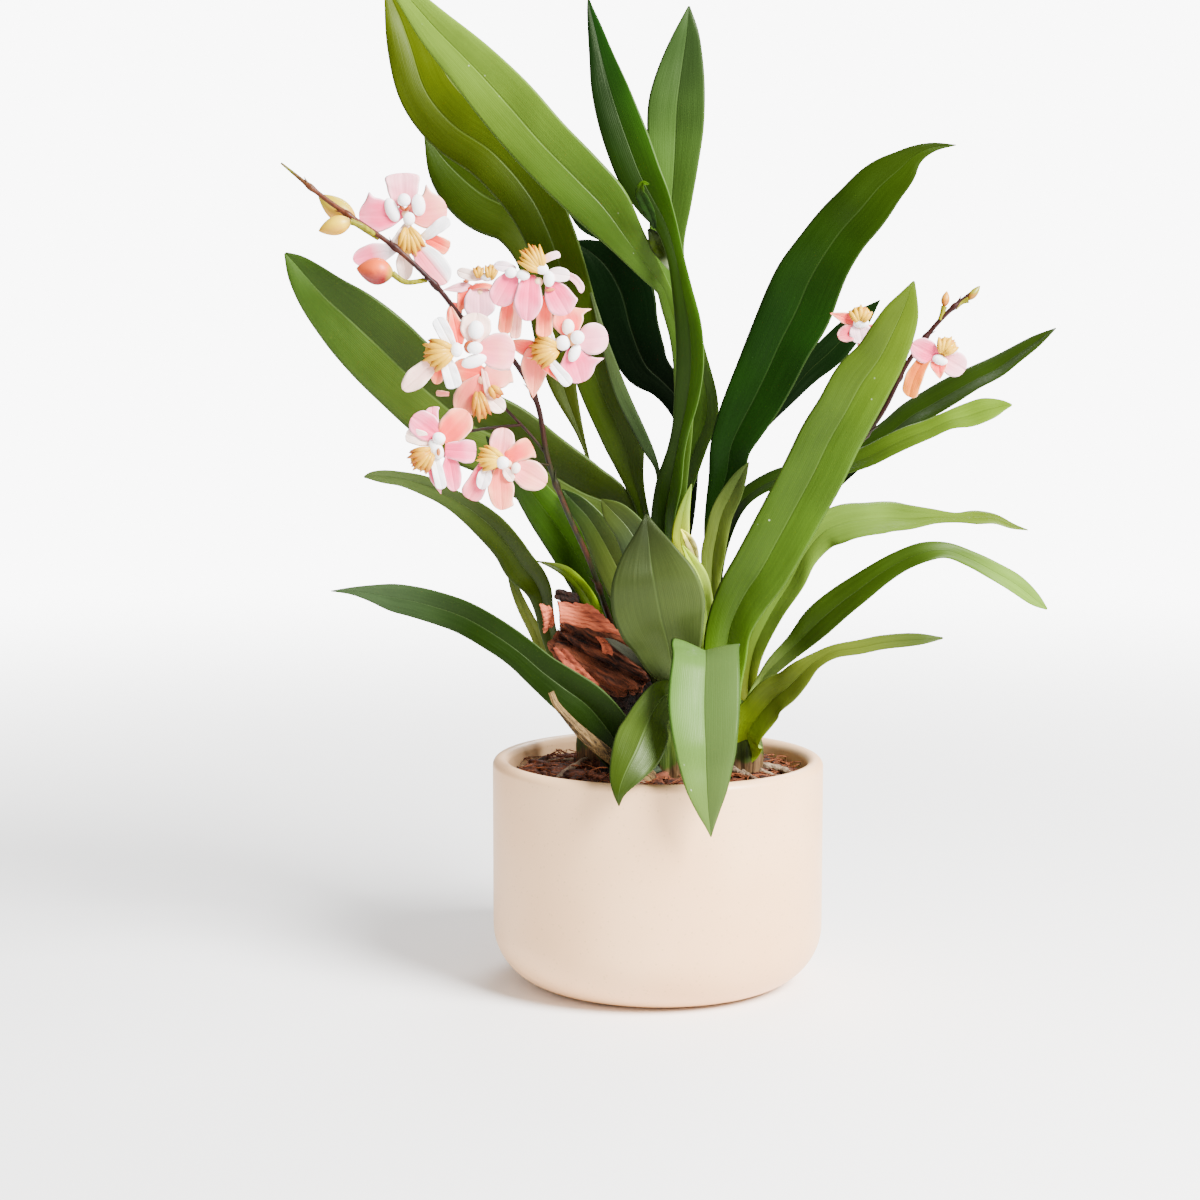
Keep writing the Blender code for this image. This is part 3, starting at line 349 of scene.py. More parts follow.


# ---- leaves

# bulb: its middle and half widths in millimetres; route: readings (across, down, depth, width seen) from
# bulb to tip, and a loose leaf's starts at its first one; turn and fold: degrees at the base and the tip;
# foot, body and tip: the leaf's paint, its own greens with the light, shade and sheen that fall on it painted in;
# left and right: painted light and shade that make its two halves lighter or darker
leaves = {
    "growth_back": {
        "bulb": (4, 24, 9, 7),
        "tallBright": {
            "route": [(670, 600, 18, 20), (675, 500, 12, 22), (684, 400, 5, 20), (679, 340, 1, 18),
                      (668, 302, 0, 17), (664, 290, -1, 14.6), (650, 270.5, -2, 23.9),
                      (628.5, 241.5, -4, 36.8), (603.5, 207.5, -5, 55.2), (577.5, 180.5, -6, 59.5),
                      (542.5, 145, -6, 60.2), (507.5, 105, -5, 60.2), (472.5, 66.5, -3, 51.4),
                      (435.5, 29, 2, 38), (406, -4.5, 6, 22.2), (384, -26, 9, 10), (373, -42, 10, 1)],
            "turn": (0, 10), "fold": (60, 14),
            "foot": (5, 15, 3), "body": (46, 68, 14), "tip": (103, 131, 39), "left": 0.87, "right": 1.16,
            "rib": 0.2, "margin": 0.35, "specks": 0.9,
        },
        "tallOlive": {
            "route": [(665, 600, 24, 20), (650, 540, 22, 14), (641, 505.5, 20, 13), (632, 476, 19, 23.4),
                      (625.5, 448.5, 18, 37.3), (614.5, 420.5, 17, 41.1), (603, 396.5, 17, 40.2),
                      (590, 361, 16, 42.4), (577.5, 322.5, 16, 45.5), (564, 279, 15, 49.4),
                      (550, 236, 15, 51), (529.5, 195, 15, 56.4), (492.5, 152, 15, 60.2),
                      (453, 124.5, 16, 59), (426, 91.5, 17, 55.1), (410.5, 45.5, 18, 47),
                      (399.5, 15, 19, 30.7), (390, -6, 20, 12), (386, -22, 20, 1)],
            "turn": (20, -10), "fold": (60, 14),
            "foot": (8, 67, 3), "body": (33, 46, 3), "tip": (61, 72, 4), "left": 0.93, "right": 1.08,
            "rib": 0.25, "margin": 0.5,
        },
        "farLeft": {
            "route": [(640, 640, 30, 8), (612, 560, 34, 6), (596, 490, 38, 5), (587, 455, 40, 4),
                      (579, 430, 41, 9), (563, 385, 42, 27), (553, 340, 42, 36), (547, 290, 42, 44),
                      (540, 250, 42, 54), (518, 214, 42, 66), (482, 194, 42, 70), (450, 166, 42, 50),
                      (424, 134, 42, 1)],
            "turn": (-10, 0), "fold": (60, 12),
            "foot": (43, 50, 8), "body": (43, 51, 8), "tip": (33, 49, 3), "left": 0.93, "right": 1.07,
            "rib": 0.2, "margin": 0.3,
        },
        # seen from its back in deep shadow: its near-black paint is painted shade
        "farMiddle": {
            "route": [(672, 600, 34, 12), (688, 520, 42, 12), (692, 465, 47, 14), (690, 432, 49, 20),
                      (678, 399, 50, 30), (663, 382, 50, 32.8), (646, 365.5, 50, 47.5),
                      (631, 329, 50, 56.5), (621, 292, 50, 64), (606, 266, 49, 48.7), (588, 250, 48, 24.3),
                      (573, 241, 47, 2)],
            "turn": (10, 0), "fold": (60, 12),
            "foot": (3, 8, 3), "body": (3, 8, 3), "tip": (3, 16, 3), "left": 1.00, "right": 1.00,
            "rib": 0.08, "margin": 0.15,
        },
        "tallMiddle": {
            "route": [(664, 600, 16, 22), (663, 550, 11, 24), (663, 516, 7, 24.7), (669, 483.5, 4, 26.9),
                      (676, 450.5, 1, 18.2), (681, 427, -2, 18), (686, 401, -4, 24.1), (690, 366, -7, 28.1),
                      (688.5, 327, -9, 27.1), (682, 289.5, -10, 20.6), (676, 259, -10, 17.1),
                      (666.5, 226, -9, 22.5), (654, 202.5, -8, 36.4), (639.5, 175, -7, 43.8),
                      (626.5, 140.5, -5, 45.2), (617, 113, -4, 42), (608, 83, -1, 34.9), (601, 55, 1, 24.2),
                      (594.5, 27, 3, 14.3), (590, 8, 4, 6.3), (588, -4, 4, 1)],
            "turn": (40, 0), "fold": (60, 22),
            "foot": (68, 111, 22), "body": (26, 46, 3), "tip": (7, 30, 3), "left": 0.55, "right": 1.82,
            "rib": 0.2, "margin": 0.7,
        },
        "tallRight": {
            "route": [(668, 620, 28, 22), (667, 560, 29, 22), (674.5, 507, 30, 24.4),
                      (684.5, 473.5, 30, 26), (696, 441.5, 30, 25.6), (705, 421, 30, 24.7),
                      (706.5, 399.5, 30, 23.2), (694.5, 350, 30, 21.4), (678.5, 303, 29, 29.6),
                      (667, 251, 28, 34.1), (671, 200.5, 27, 42), (673.5, 166, 26, 49),
                      (675.2, 131, 26, 56.5), (676.5, 105, 25, 57), (679.5, 82, 25, 51.2),
                      (683.5, 55.5, 25, 39.3), (687, 31.5, 24, 24.5), (689, 6, 24, 2)],
            "turn": (50, -4), "fold": (60, 16),
            "foot": (57, 83, 25), "body": (57, 83, 25), "tip": (32, 49, 19), "left": 1.12, "right": 0.90,
            "rib": 0.25, "margin": 0.4,
        },
        "bract": {
            "route": [(655, 228, -9, 3.6), (650, 214, -12, 10.4), (644, 202, -14, 12.2),
                      (640, 191, -16, 9.7), (643, 183, -18, 4.9), (646.7, 183.6, -18.6, 3.4),
                      (649, 184, -19, 1)],
            "turn": (0, 20), "fold": (30, 20), "loose": True,
            "foot": (8, 23, 3), "body": (14, 34, 3), "tip": (49, 77, 3),
        },
        "paleEdge": {
            "route": [(664, 560, 17, 4), (660, 500, 15, 5), (657, 468, 13, 5), (648, 449, 12, 11),
                      (636, 424, 12, 13), (624, 399, 12, 14), (614, 372, 12, 12), (604, 340, 12, 8),
                      (595, 306, 13, 4), (588, 284, 14, 1)],
            "turn": (0, 0), "fold": (20, 6),
            "foot": (33, 47, 22), "body": (33, 47, 22), "tip": (56, 68, 36), "left": 0.89, "right": 1.12,
            "rib": 0.05, "margin": 0.3,
        },
        # a narrow dark leaf set where tallBright's underside lies in shadow: its dark paint is painted shade
        "tuckedDark": {
            "route": [(684, 400, 24, 8), (680, 345, 20, 8), (667, 305, 12, 8), (650, 274, 8, 8),
                      (624, 248, 6, 12), (602, 233, 5, 16), (585, 222, 4, 18), (565, 205, 3, 2)],
            "turn": (0, 0), "fold": (20, 6),
            "foot": (8, 30, 3), "body": (8, 30, 3), "tip": (8, 30, 3),
            "rib": 0.05, "margin": 0.1,
        },
        "tuckedBract": {
            "route": [(672, 268, -6, 8), (664, 254, -7, 15), (657, 243, -7, 17), (652, 234, -8, 10),
                      (648, 229, -8, 2)],
            "turn": (0, 0), "fold": (20, 12), "loose": True,
            "foot": (133, 146, 109), "body": (29, 40, 3), "tip": (8, 14, 3),
        },
    },
    "growth_left": {
        "bulb": (-20, 14, 10, 7),
        "wideLeft": {
            "route": [(615, 660, 19, 22), (621, 600, 23, 24), (625, 535, 25, 36.1), (607.5, 506, 24, 50.4),
                      (580, 493.5, 23, 66.4), (538, 468, 20, 76), (503.5, 442, 14, 77.8),
                      (465, 423.5, 9, 80.4), (433, 398, 6, 79.4), (402, 371, 2, 76.4),
                      (377.5, 347, -2, 75.7), (349.5, 320.5, -5, 67.9), (324.5, 297.5, -8, 52.6),
                      (306.5, 277.5, -10, 37.4), (294, 262.5, -11, 21.1), (285, 253, -12, 3)],
            "turn": (20, 4), "fold": (60, 20),
            "foot": (44, 57, 13), "body": (44, 57, 13), "tip": (44, 66, 17), "left": 1.26, "right": 0.80,
            "rib": 0.4, "margin": 0.45,
        },
        "innerLeft": {
            "route": [(612, 670, 15, 22.8), (600, 605, 13, 39.4), (579, 560, 9, 44.1), (546, 512, 3, 39.8),
                      (514, 470, -4, 24.2), (496.6, 448.9, -8.3, 16.8), (486, 436, -11, 1)],
            "turn": (10, 0), "fold": (60, 24),
            "foot": (37, 63, 4), "body": (37, 63, 4), "tip": (16, 28, 3), "left": 0.57, "right": 1.75,
            "rib": 0.2, "margin": 0.3,
        },
        "lowOlive": {
            "route": [(578, 705, 12, 12), (560, 668, 7, 14), (548, 630, 3, 17.1), (543.5, 609.5, 0, 19.6),
                      (539, 592.5, -2, 24.5), (531.5, 579.5, -5, 29.4), (521, 567.5, -7, 33.8),
                      (508.5, 548.5, -9, 31.9), (490.5, 528, -11, 30.5), (469, 510, -12, 25.6),
                      (448.5, 497.5, -13, 21), (426.5, 486.5, -14, 19.6), (402, 479, -14, 14.6),
                      (382.5, 476.5, -14, 13.3), (370.5, 476, -14, 8.1), (364, 477, -14, 2)],
            "turn": (20, 30), "fold": (60, 20),
            "foot": (100, 116, 44), "body": (34, 45, 3), "tip": (73, 90, 44), "left": 0.99, "right": 1.01,
            "rib": 0.4, "margin": 0.5,
        },
        "narrowLeft": {
            "route": [(570, 705, 18, 6), (546, 660, 18, 10), (535, 631.5, 18, 12.4), (524.5, 611, 17, 11.7),
                      (516.5, 593, 17, 9.8), (511.5, 577.5, 16, 7.6), (507, 563, 16, 1)],
            "turn": (0, 0), "fold": (40, 15),
            "foot": (80, 85, 31), "body": (80, 85, 31), "tip": (39, 49, 11),
        },
        "sheathLeft": {
            "route": [(610, 690, 14, 12), (601, 632, 9, 14), (592, 605.5, 4, 15), (583.5, 591, 0, 15),
                      (573, 578, -6, 13), (563, 570, -9, 11), (551, 565, -11, 6), (537, 561, -13, 1)],
            "turn": (0, 0), "fold": (50, 30),
            "foot": (91, 117, 3), "body": (91, 117, 3), "tip": (39, 46, 7), "left": 0.55, "right": 1.82,
        },
    },
    "growth_right_back": {
        "bulb": (24, 20, 8, 7),
        "wideDark": {
            "route": [(716, 620, 20, 10), (712, 565, 19, 12), (711, 531.5, 18, 14.3),
                      (717, 503.5, 16, 23.1), (726, 475, 14, 35.4), (730.5, 446.5, 12, 41.1),
                      (740.5, 423.5, 11, 49.7), (753, 399.5, 10, 56.8), (766.5, 371.5, 9, 61.4),
                      (780, 341.5, 7, 65), (795.5, 311, 5, 70.8), (809, 280, 3, 68.3),
                      (824.5, 253.5, 1, 61.4), (842, 229, 0, 58.1), (860, 209.5, -2, 55.9),
                      (880, 186, -3, 49.5), (899.5, 169, -4, 37.5), (914, 155.5, -4, 20.5),
                      (933, 147.2, -4, 9.6), (956, 145, -4, 1)],
            "turn": (10, 6), "fold": (60, 14),
            "foot": (243, 243, 96), "body": (10, 34, 3), "tip": (28, 42, 3), "left": 0.90, "right": 1.11,
            "rib": 0.2, "margin": 0.35,
        },
        "strapDark": {
            "route": [(716, 600, 30, 8), (722, 510, 36, 10), (738, 455, 42, 14), (762, 422, 44, 16),
                      (786, 398, 46, 17), (808, 372, 48, 25), (832, 350, 49, 30), (858, 322, 50, 22),
                      (880, 300, 50, 1)],
            "turn": (0, 0), "fold": (60, 10),
            "foot": (3, 10, 3), "body": (3, 10, 3), "tip": (6, 22, 3),
        },
        "rightDark": {
            "route": [(745, 640, 28, 12), (768, 575, 32, 14), (800, 522, 35, 17), (835, 478, 37, 20),
                      (872, 444, 38, 22.8), (893.5, 427.5, 38, 24.7), (909.5, 414.5, 38, 26.4),
                      (927, 404.5, 38, 26.9), (949.5, 391.5, 37, 26.4), (973, 378.5, 36, 24.2),
                      (996, 367, 35, 23.3), (1016.5, 353.5, 34, 17.5), (1037.5, 340, 33, 11.2),
                      (1056, 328, 32, 1)],
            "turn": (50, 55), "fold": (50, 14),
            "foot": (24, 40, 4), "body": (24, 40, 4), "tip": (32, 48, 7),
            "rib": 0.3, "margin": 0.3,
        },
        "rightPale": {
            "route": [(716, 610, 18, 9), (722, 548, 18, 11), (736.5, 505.5, 19, 19.2),
                      (752.5, 490.5, 20, 17.5), (780, 477, 21, 18), (820, 471, 23, 20),
                      (865.5, 457, 24, 21.2), (889, 445.5, 24, 20.6), (909, 436.5, 24, 20.6),
                      (929, 429, 24, 19.7), (949, 420, 23, 19.7), (968, 415, 23, 24.7),
                      (986, 409, 22, 22.8), (1001.5, 406, 22, 12.4), (1012, 405, 21, 2)],
            "turn": (50, 40), "fold": (50, 14),
            "foot": (22, 37, 5), "body": (22, 37, 5), "tip": (82, 107, 21),
            "rib": 0.3, "margin": 0.4,
        },
        "shortPale": {
            "route": [(710, 650, 10, 14), (711, 610, 8, 17), (711.5, 575, 6, 19), (713, 554.5, 5, 24.2),
                      (716.5, 535.5, 4, 23.5), (722, 513.5, 3, 23.1), (732, 493.5, 2, 21.2),
                      (741, 475.5, 1, 13), (749, 462, 0, 1)],
            "turn": (10, 0), "fold": (60, 30),
            "foot": (96, 111, 40), "body": (96, 111, 40), "tip": (48, 61, 21),
        },
    },
    "growth_right_front": {
        "bulb": (29, -6, 9, 8),
        "frontBright": {
            "route": [(722, 700, -12, 36), (725, 655, -14, 44), (729, 627, -16, 46),
                      (743.5, 595, -19, 52.9), (760, 570.5, -22, 57.8), (778.5, 537.5, -25, 59.7),
                      (796.5, 504.5, -27, 60.4), (813.5, 473, -30, 61.9), (830, 439, -33, 61.8),
                      (845.5, 412.5, -36, 59.7), (862.5, 382, -38, 59.2), (879, 359.5, -39, 50.6),
                      (892.5, 333.5, -41, 44.3), (903, 310.5, -42, 33.5), (910, 292.5, -43, 14.9),
                      (914, 281, -43, 2)],
            "turn": (15, -5), "fold": (60, 14),
            "foot": (73, 107, 4), "body": (50, 73, 12), "tip": (62, 79, 11), "left": 0.81, "right": 1.23,
            "rib": 0.35, "margin": 0.3, "specks": 0.9,
        },
        "wavyPale": {
            "route": [(752, 720, -2, 14), (747, 690, 0, 16), (750, 660, 2, 20.4), (755.5, 641.5, 2, 24),
                      (770.5, 611, 2, 29.5), (790, 580, 2, 33.3), (804.5, 553, 1, 27.6),
                      (823.5, 530.5, 0, 32.9), (842.5, 522.5, -2, 39.3), (863.5, 519, -4, 38.1),
                      (888, 517.5, -5, 35), (908, 518.5, -7, 25.3), (934, 517, -8, 13.4),
                      (956.5, 517.5, -9, 9.1), (975.5, 516.5, -9, 13), (994.5, 518, -9, 10.4),
                      (1013, 526, -9, 6.3), (1028, 530, -9, 1)],
            "turn": (20, 50), "fold": (60, 10), "wave": 1.2,
            "foot": (86, 87, 14), "body": (85, 110, 35), "tip": (69, 85, 9),
            "rib": 0.3, "margin": 0.4,
        },
        "arching": {
            "route": [(752, 700, -13, 12), (760, 681.5, -15, 9.4), (775, 664, -19, 17.2),
                      (795.5, 644.5, -22, 22.7), (816.5, 622.5, -25, 31.4), (837.5, 604.5, -27, 31.4),
                      (859, 588.5, -29, 29.2), (882, 572, -30, 24.4), (902, 560.5, -30, 21.5),
                      (924.5, 552, -30, 20.6), (946, 550, -29, 16.5), (971, 559, -27, 16.1),
                      (995, 571.5, -25, 18), (1017, 584.5, -23, 19.2), (1035.5, 599.5, -21, 12.7),
                      (1047, 609, -20, 2)],
            "turn": (10, 30), "fold": (50, 14),
            "foot": (144, 169, 80), "body": (31, 47, 4), "tip": (92, 121, 39),
            "rib": 0.35, "margin": 0.5,
        },
        "lowRight": {
            "route": [(744, 750, -9, 24), (745, 731, -15, 40.2), (758.5, 712.5, -22, 38.1),
                      (773, 696.5, -27, 37.2), (787, 686.5, -32, 31.8), (800.5, 673.5, -36, 25.8),
                      (814, 662, -38, 17), (834, 651.5, -40, 14.3), (859.5, 647, -42, 14.3),
                      (881.5, 642.5, -43, 15), (904, 640, -44, 14.1), (923.5, 639, -45, 10.4),
                      (943, 638, -45, 2)],
            "turn": (20, 40), "fold": (50, 14),
            "foot": (147, 179, 30), "body": (78, 90, 23), "tip": (53, 66, 22),
            "rib": 0.35, "margin": 0.5,
        },
    },
    "growth_front": {
        "bulb": (6, -16, 10, 7),
        "broadGrey": {
            "route": [(672, 705, -20, 20), (675, 680, -23, 32), (671, 660, -25, 55), (667, 640, -27, 72),
                      (661.5, 620, -29, 88), (657.5, 600, -30, 94), (654, 580, -31, 87),
                      (651, 561, -30, 67), (649, 542, -29, 41), (647.5, 527, -28, 19), (646, 514, -27, 2)],
            "turn": (0, 0), "fold": (50, 14),
            "foot": (48, 58, 24), "body": (48, 58, 24), "tip": (25, 31, 10), "left": 0.76, "right": 1.32,
            "rib": 0.25, "margin": 0.35,
        },
        "greyBlade": {
            "route": [(668, 705, -12, 6), (656, 680, -15, 7), (643, 664, -17, 8), (626, 651, -18, 9),
                      (612, 642, -18, 6), (603, 638, -18, 1)],
            "turn": (0, 0), "fold": (30, 20),
            "foot": (14, 15, 3), "body": (14, 15, 3), "tip": (94, 95, 80), "margin": 0.3,
        },
        "behindBroad": {
            "route": [(684, 680, -14, 27.4), (673, 620, -16, 43.7), (652, 570, -16, 46.3),
                      (628, 528, -14, 31.4), (611.3, 510, -12.8, 21.8), (601, 499, -12, 1)],
            "turn": (0, 10), "fold": (50, 14),
            "foot": (41, 51, 42), "body": (41, 51, 42), "tip": (44, 54, 15),
            "margin": 0.6,
        },
        "innerDark": {
            "route": [(672, 690, -6, 21.8), (650, 640, 1, 34.1), (632, 600, 2, 39.4), (612, 558, 1, 38.3),
                      (590, 520, -1, 25.9), (572.6, 500.8, -1.6, 18), (562, 489, -2, 1)],
            "turn": (0, 10), "fold": (50, 20),
            "foot": (56, 66, 22), "body": (56, 66, 22), "tip": (17, 33, 3),
            "margin": 0.6,
        },
        "drooping": {
            "route": [(700, 700, -23, 30), (703, 666, -32, 50), (705, 651, -41, 68), (705.5, 662, -51, 67),
                      (704.5, 684, -56, 71), (704, 705, -60, 72), (704.5, 725.5, -64, 69.1),
                      (705.5, 746, -67, 63), (706, 767, -68, 54), (707, 789.5, -70, 42),
                      (708.5, 812, -71, 23), (710, 826, -71, 10), (711, 837, -71, 1)],
            "turn": (0, 0), "fold": (-40, -20),
            "foot": (29, 62, 3), "body": (29, 62, 3), "tip": (40, 57, 3), "left": 1.74, "right": 0.58,
            "rib": 0.4, "margin": 0.4, "specks": 0.7,
        },
        "shortDroop": {
            "route": [(684, 716, -25, 20), (676, 700, -35, 26), (665, 696, -44, 34),
                      (651.5, 714, -51, 40.3), (644.5, 732, -57, 51.1), (636.5, 751.5, -62, 50),
                      (628.5, 767, -65, 39.5), (622, 782, -67, 26.1), (619, 794.5, -68, 12),
                      (619, 806, -68, 1)],
            "turn": (0, 0), "fold": (-30, -14),
            "foot": (52, 68, 20), "body": (52, 68, 20), "tip": (31, 44, 3), "left": 0.91, "right": 1.10,
            "rib": 0.4, "margin": 0.4,
        },
        "lowLeft": {
            "route": [(632, 765, -26, 30), (607.5, 731.5, -30, 48.1), (587.5, 707, -32, 46.1),
                      (564, 689, -34, 42.5), (542.5, 672.5, -34, 36.8), (517.5, 651, -34, 33.4),
                      (490.5, 632.5, -34, 33.6), (463.5, 617.5, -33, 33.6), (441.5, 609.5, -32, 32.9),
                      (415, 602, -31, 31), (392.5, 597.5, -30, 27.9), (372, 593.5, -29, 17.5),
                      (352.5, 591, -28, 8.1), (331, 591, -27, 1)],
            "turn": (10, 10), "fold": (50, 16),
            "foot": (3, 10, 3), "body": (17, 32, 3), "tip": (55, 72, 44), "left": 0.92, "right": 1.09,
            "rib": 0.4, "margin": 0.45,
        },
    },
    "growth_young": {
        "bulb": (14, 2, 5, 5),
        "shootTall": {
            "route": [(700, 645, -4, 14), (697, 605, -5, 15), (690, 568, -6, 17), (681, 546, -6, 18),
                      (681, 529, -6, 17.5), (683.5, 513, -6, 13), (687, 499, -6, 8), (691.5, 484, -6, 1)],
            "turn": (0, 0), "fold": (50, 30),
            "foot": (179, 184, 12), "body": (179, 184, 12), "tip": (102, 127, 38), "left": 0.75, "right": 1.33,
        },
        "shootShort": {
            "route": [(706, 665, -8, 12), (708, 632, -9, 14), (706, 603, -10, 15), (700.5, 578, -12, 16),
                      (692, 562, -12, 13), (686, 551, -12, 6), (682, 545, -12, 1)],
            "turn": (0, 0), "fold": (50, 20),
            "foot": (210, 243, 104), "body": (210, 243, 104), "tip": (142, 165, 3),
        },
        "driedTip": {
            "route": [(697, 566, -9, 6), (694, 552, -10, 9), (690, 543, -11, 11), (686, 536, -11, 8),
                      (681, 529, -11, 1)],
            "turn": (0, 0), "fold": (40, 40), "loose": True,
            "foot": (243, 243, 178), "body": (150, 142, 77), "tip": (243, 243, 45),
        },
    },
}
bladeMake = {"thickness": 0.75, "gloss": 0.04, "shine": 0.16, "tint": (0.62, 0.8, 0.42, 1),
             "slimBelow": 22, "slim": (64, 13), "broad": (110, 29)}  # rows and columns of slim and broad blades
bulbMake = {"middle": 84, "half": 20, "ribs": 9}


def leafMesh(name, leaf, start):
    # half width = half the seen width / cos(fold) / cos(turn), so that the leaf fills its outline; the
    # halves rise at the fold angle from the midrib and flatten towards the margins
    readings = np.asarray(leaf["route"], float)
    points = seenPoints(readings)
    points = np.column_stack([points, readings[:, 3] * ((points - eye) @ forward) / view["focal"]])
    if not leaf.get("loose"):  # grows from its bulb
        points = np.concatenate([[[*start, 0.6 * points[0, 3]]], points])
    rows, columns = bladeMake["slim" if readings[:, 3].max() < bladeMake["slimBelow"] else "broad"]
    spine, share = smoothRoute(points, rows, 1.15)
    spine, seen = spine[:, :3], np.maximum(spine[:, 3], 0.0003)
    along = unit(np.gradient(spine, axis=0))
    toward = unit(eye - spine)
    side = np.cross(along, toward)
    kept = np.flatnonzero(np.linalg.norm(side, axis=1) > 0.3)  # not where the leaf points at the camera
    side = unit(side[kept])
    side[1:] *= np.cumprod(np.where(np.sum(side[1:] * side[:-1], axis=1) < 0, -1, 1))[:, None]
    side = np.column_stack([np.interp(np.arange(len(spine)), kept, part) for part in side.T])
    side = unit(side - along * np.sum(side * along, axis=1, keepdims=True))
    face = np.cross(side, along)
    roll = np.radians(leaf["turn"][0] + (leaf["turn"][1] - leaf["turn"][0]) * share)
    bend = np.radians(leaf["fold"][1] + (leaf["fold"][0] - leaf["fold"][1]) * (1 - share) ** 4)
    half = 0.5 * seen / np.maximum(np.cos(0.7 * bend) * np.cos(roll), 0.4)
    spine = spine + side * (0.96 * half * np.sin(0.7 * bend) * np.sin(roll))[:, None]
    roll = roll[:, None]
    side, face = side * np.cos(roll) + face * np.sin(roll), face * np.cos(roll) - side * np.sin(roll)
    phase = sum(map(ord, name))

    def lift(s, v):
        slope = bend[:, None] * (1 - 0.3 * np.abs(v))
        height = half[:, None] * (np.sqrt(v**2 + 0.0016) - 0.04) * np.sin(slope)
        ripple = leaf.get("wave", 0.0) * np.sin(19 * s + v) + 0.25 * np.sin(31 * s + phase + 2 * v)
        return v * np.cos(slope), height + ripple * mm * v**2 * np.minimum(1, half / half.max() * 1.6)[:, None]

    return bladeMesh(name, spine, share, side, face, half, lift, bladeMake["thickness"] * mm, columns)


def leafMaterial(name, leaf, length):
    full = min(1.0, 0.15 + sum(leaf["body"]) / 160)  # dark leaves shine less
    material, tree, shader = newMaterial(
        name, Coat_Weight=bladeMake["gloss"] * full, Coat_Roughness=0.35,
        Specular_IOR_Level=bladeMake["shine"] * full, Specular_Tint=bladeMake["tint"])
    place = addNode(tree, "UVMap", uv_map="uv")
    split = tree.nodes.new("ShaderNodeSeparateXYZ")
    tree.links.new(place, split.inputs[0])
    under = addNode(tree, "Attribute", out=2, attribute_name="under")
    broad = 0.37 * max(reading[3] for reading in leaf["route"])  # mm
    made = useGroup(tree, "leafBlade", {
        "Across": split.outputs[0], "Along": split.outputs[1], "Under": under, "Width": broad,
        "Length": length, "Foot": colour(*leaf["foot"]), "Body": colour(*leaf["body"]), "Tip": colour(*leaf["tip"]),
        "Left": leaf.get("left", 1.0), "Right": leaf.get("right", 1.0), "Rib": leaf.get("rib", 0.2),
        "Margin": leaf.get("margin", 0.3), "Veins": 1.5 * broad, "Specks": leaf.get("specks", 0.0)})
    feed(tree, shader, made["Colour"], made["Roughness"], made["Height"], 0.00012)
    return material


def bulbMesh(name, bulb):
    # a pseudobulb: half width * sin(pi * share)^0.55 * (1 + 0.05 cos(ribs * angle + 2 share) * sin(pi * share)),
    # share running from its foot to its top, and drawn in a little towards the top
    x, y, halfX, halfY = bulb
    share = np.linspace(0.015, 0.985, 60)[:, None]
    angle = np.linspace(0, 2 * np.pi, 96, endpoint=False)[None, :]
    ribs = 1 + 0.05 * np.cos(bulbMake["ribs"] * angle + 2 * share + x) * np.sin(np.pi * share)
    radius = np.sin(np.pi * share) ** 0.55 * ribs * (0.86 + 0.14 * np.cos(3 * share - 1))
    points = np.stack([x + halfX * radius * np.cos(angle), y + halfY * radius * np.sin(angle),
                       bulbMake["middle"] + bulbMake["half"] * (2 * share - 1) + 0 * angle], axis=-1)
    return closedMesh(name, points * mm, {"high": np.broadcast_to(share, radius.shape)})


def bulbMaterial():
    # green with yellow ribs above, wrapped in a dry tan husk with long fibres below; both are darkened as painted
    # shade, the bulbs lying in shadow under the leaves
    material, tree, shader = newMaterial("bulbGreen", Specular_IOR_Level=0.25)
    high = addNode(tree, "Attribute", out=2, attribute_name="high")
    place = addNode(tree, "TexCoord", out=3)
    grain = noise(tree, addNode(tree, "Mapping", {"Vector": place, "Scale": (1, 1, 0.06)}), 700, 4)
    husk = sums(tree, "ADD", high, sums(tree, "MULTIPLY_ADD", noise(tree, place, 90, 3), 0.5, -0.25))
    dry = mixed(tree, between(tree, grain, 0.3, 0.7), colour(40, 26, 14), colour(112, 84, 52))
    green = mixed(tree, between(tree, grain, 0.25, 0.75), colour(28, 44, 8), colour(66, 84, 16))
    feed(tree, shader, mixed(tree, between(tree, husk, 0.45, 0.52), dry, green),
         between(tree, grain, 0.2, 0.8, 0.4, 0.7), grain, 0.0004)
    return material


def addLeaves():
    bulbSkin = bulbMaterial()
    for node, growth in leaves.items():
        start = np.array([*growth["bulb"][:2], bulbMake["middle"]]) * mm
        addPiece("bulb_" + node[7:], bulbMesh(node, growth["bulb"]), bulbSkin, [node])
        for name, leaf in growth.items():
            if name == "bulb":
                continue
            route = np.concatenate([[start], seenPoints(leaf["route"])])
            length = float(np.linalg.norm(np.diff(route, axis=0), axis=1).sum()) / mm
            addPiece("leaf_" + name, leafMesh(name, leaf, start), leafMaterial("leaf_" + name, leaf, length),
                     [node])


addLeaves()
print("leaves ready")


# ---- pot

potMake = {"radius": 60, "height": 82, "wall": 5.8, "foot": 21, "floor": 8, "around": 192,
           "clay": (240, 194, 146), "shade": (228, 178, 128)}


def arc(middle, radius, start, end, count):
    # points of a circle's part, angles in degrees
    angle = np.radians(np.linspace(start, end, count))
    return np.column_stack([middle[0] + radius * np.cos(angle), middle[1] + radius * np.sin(angle)])


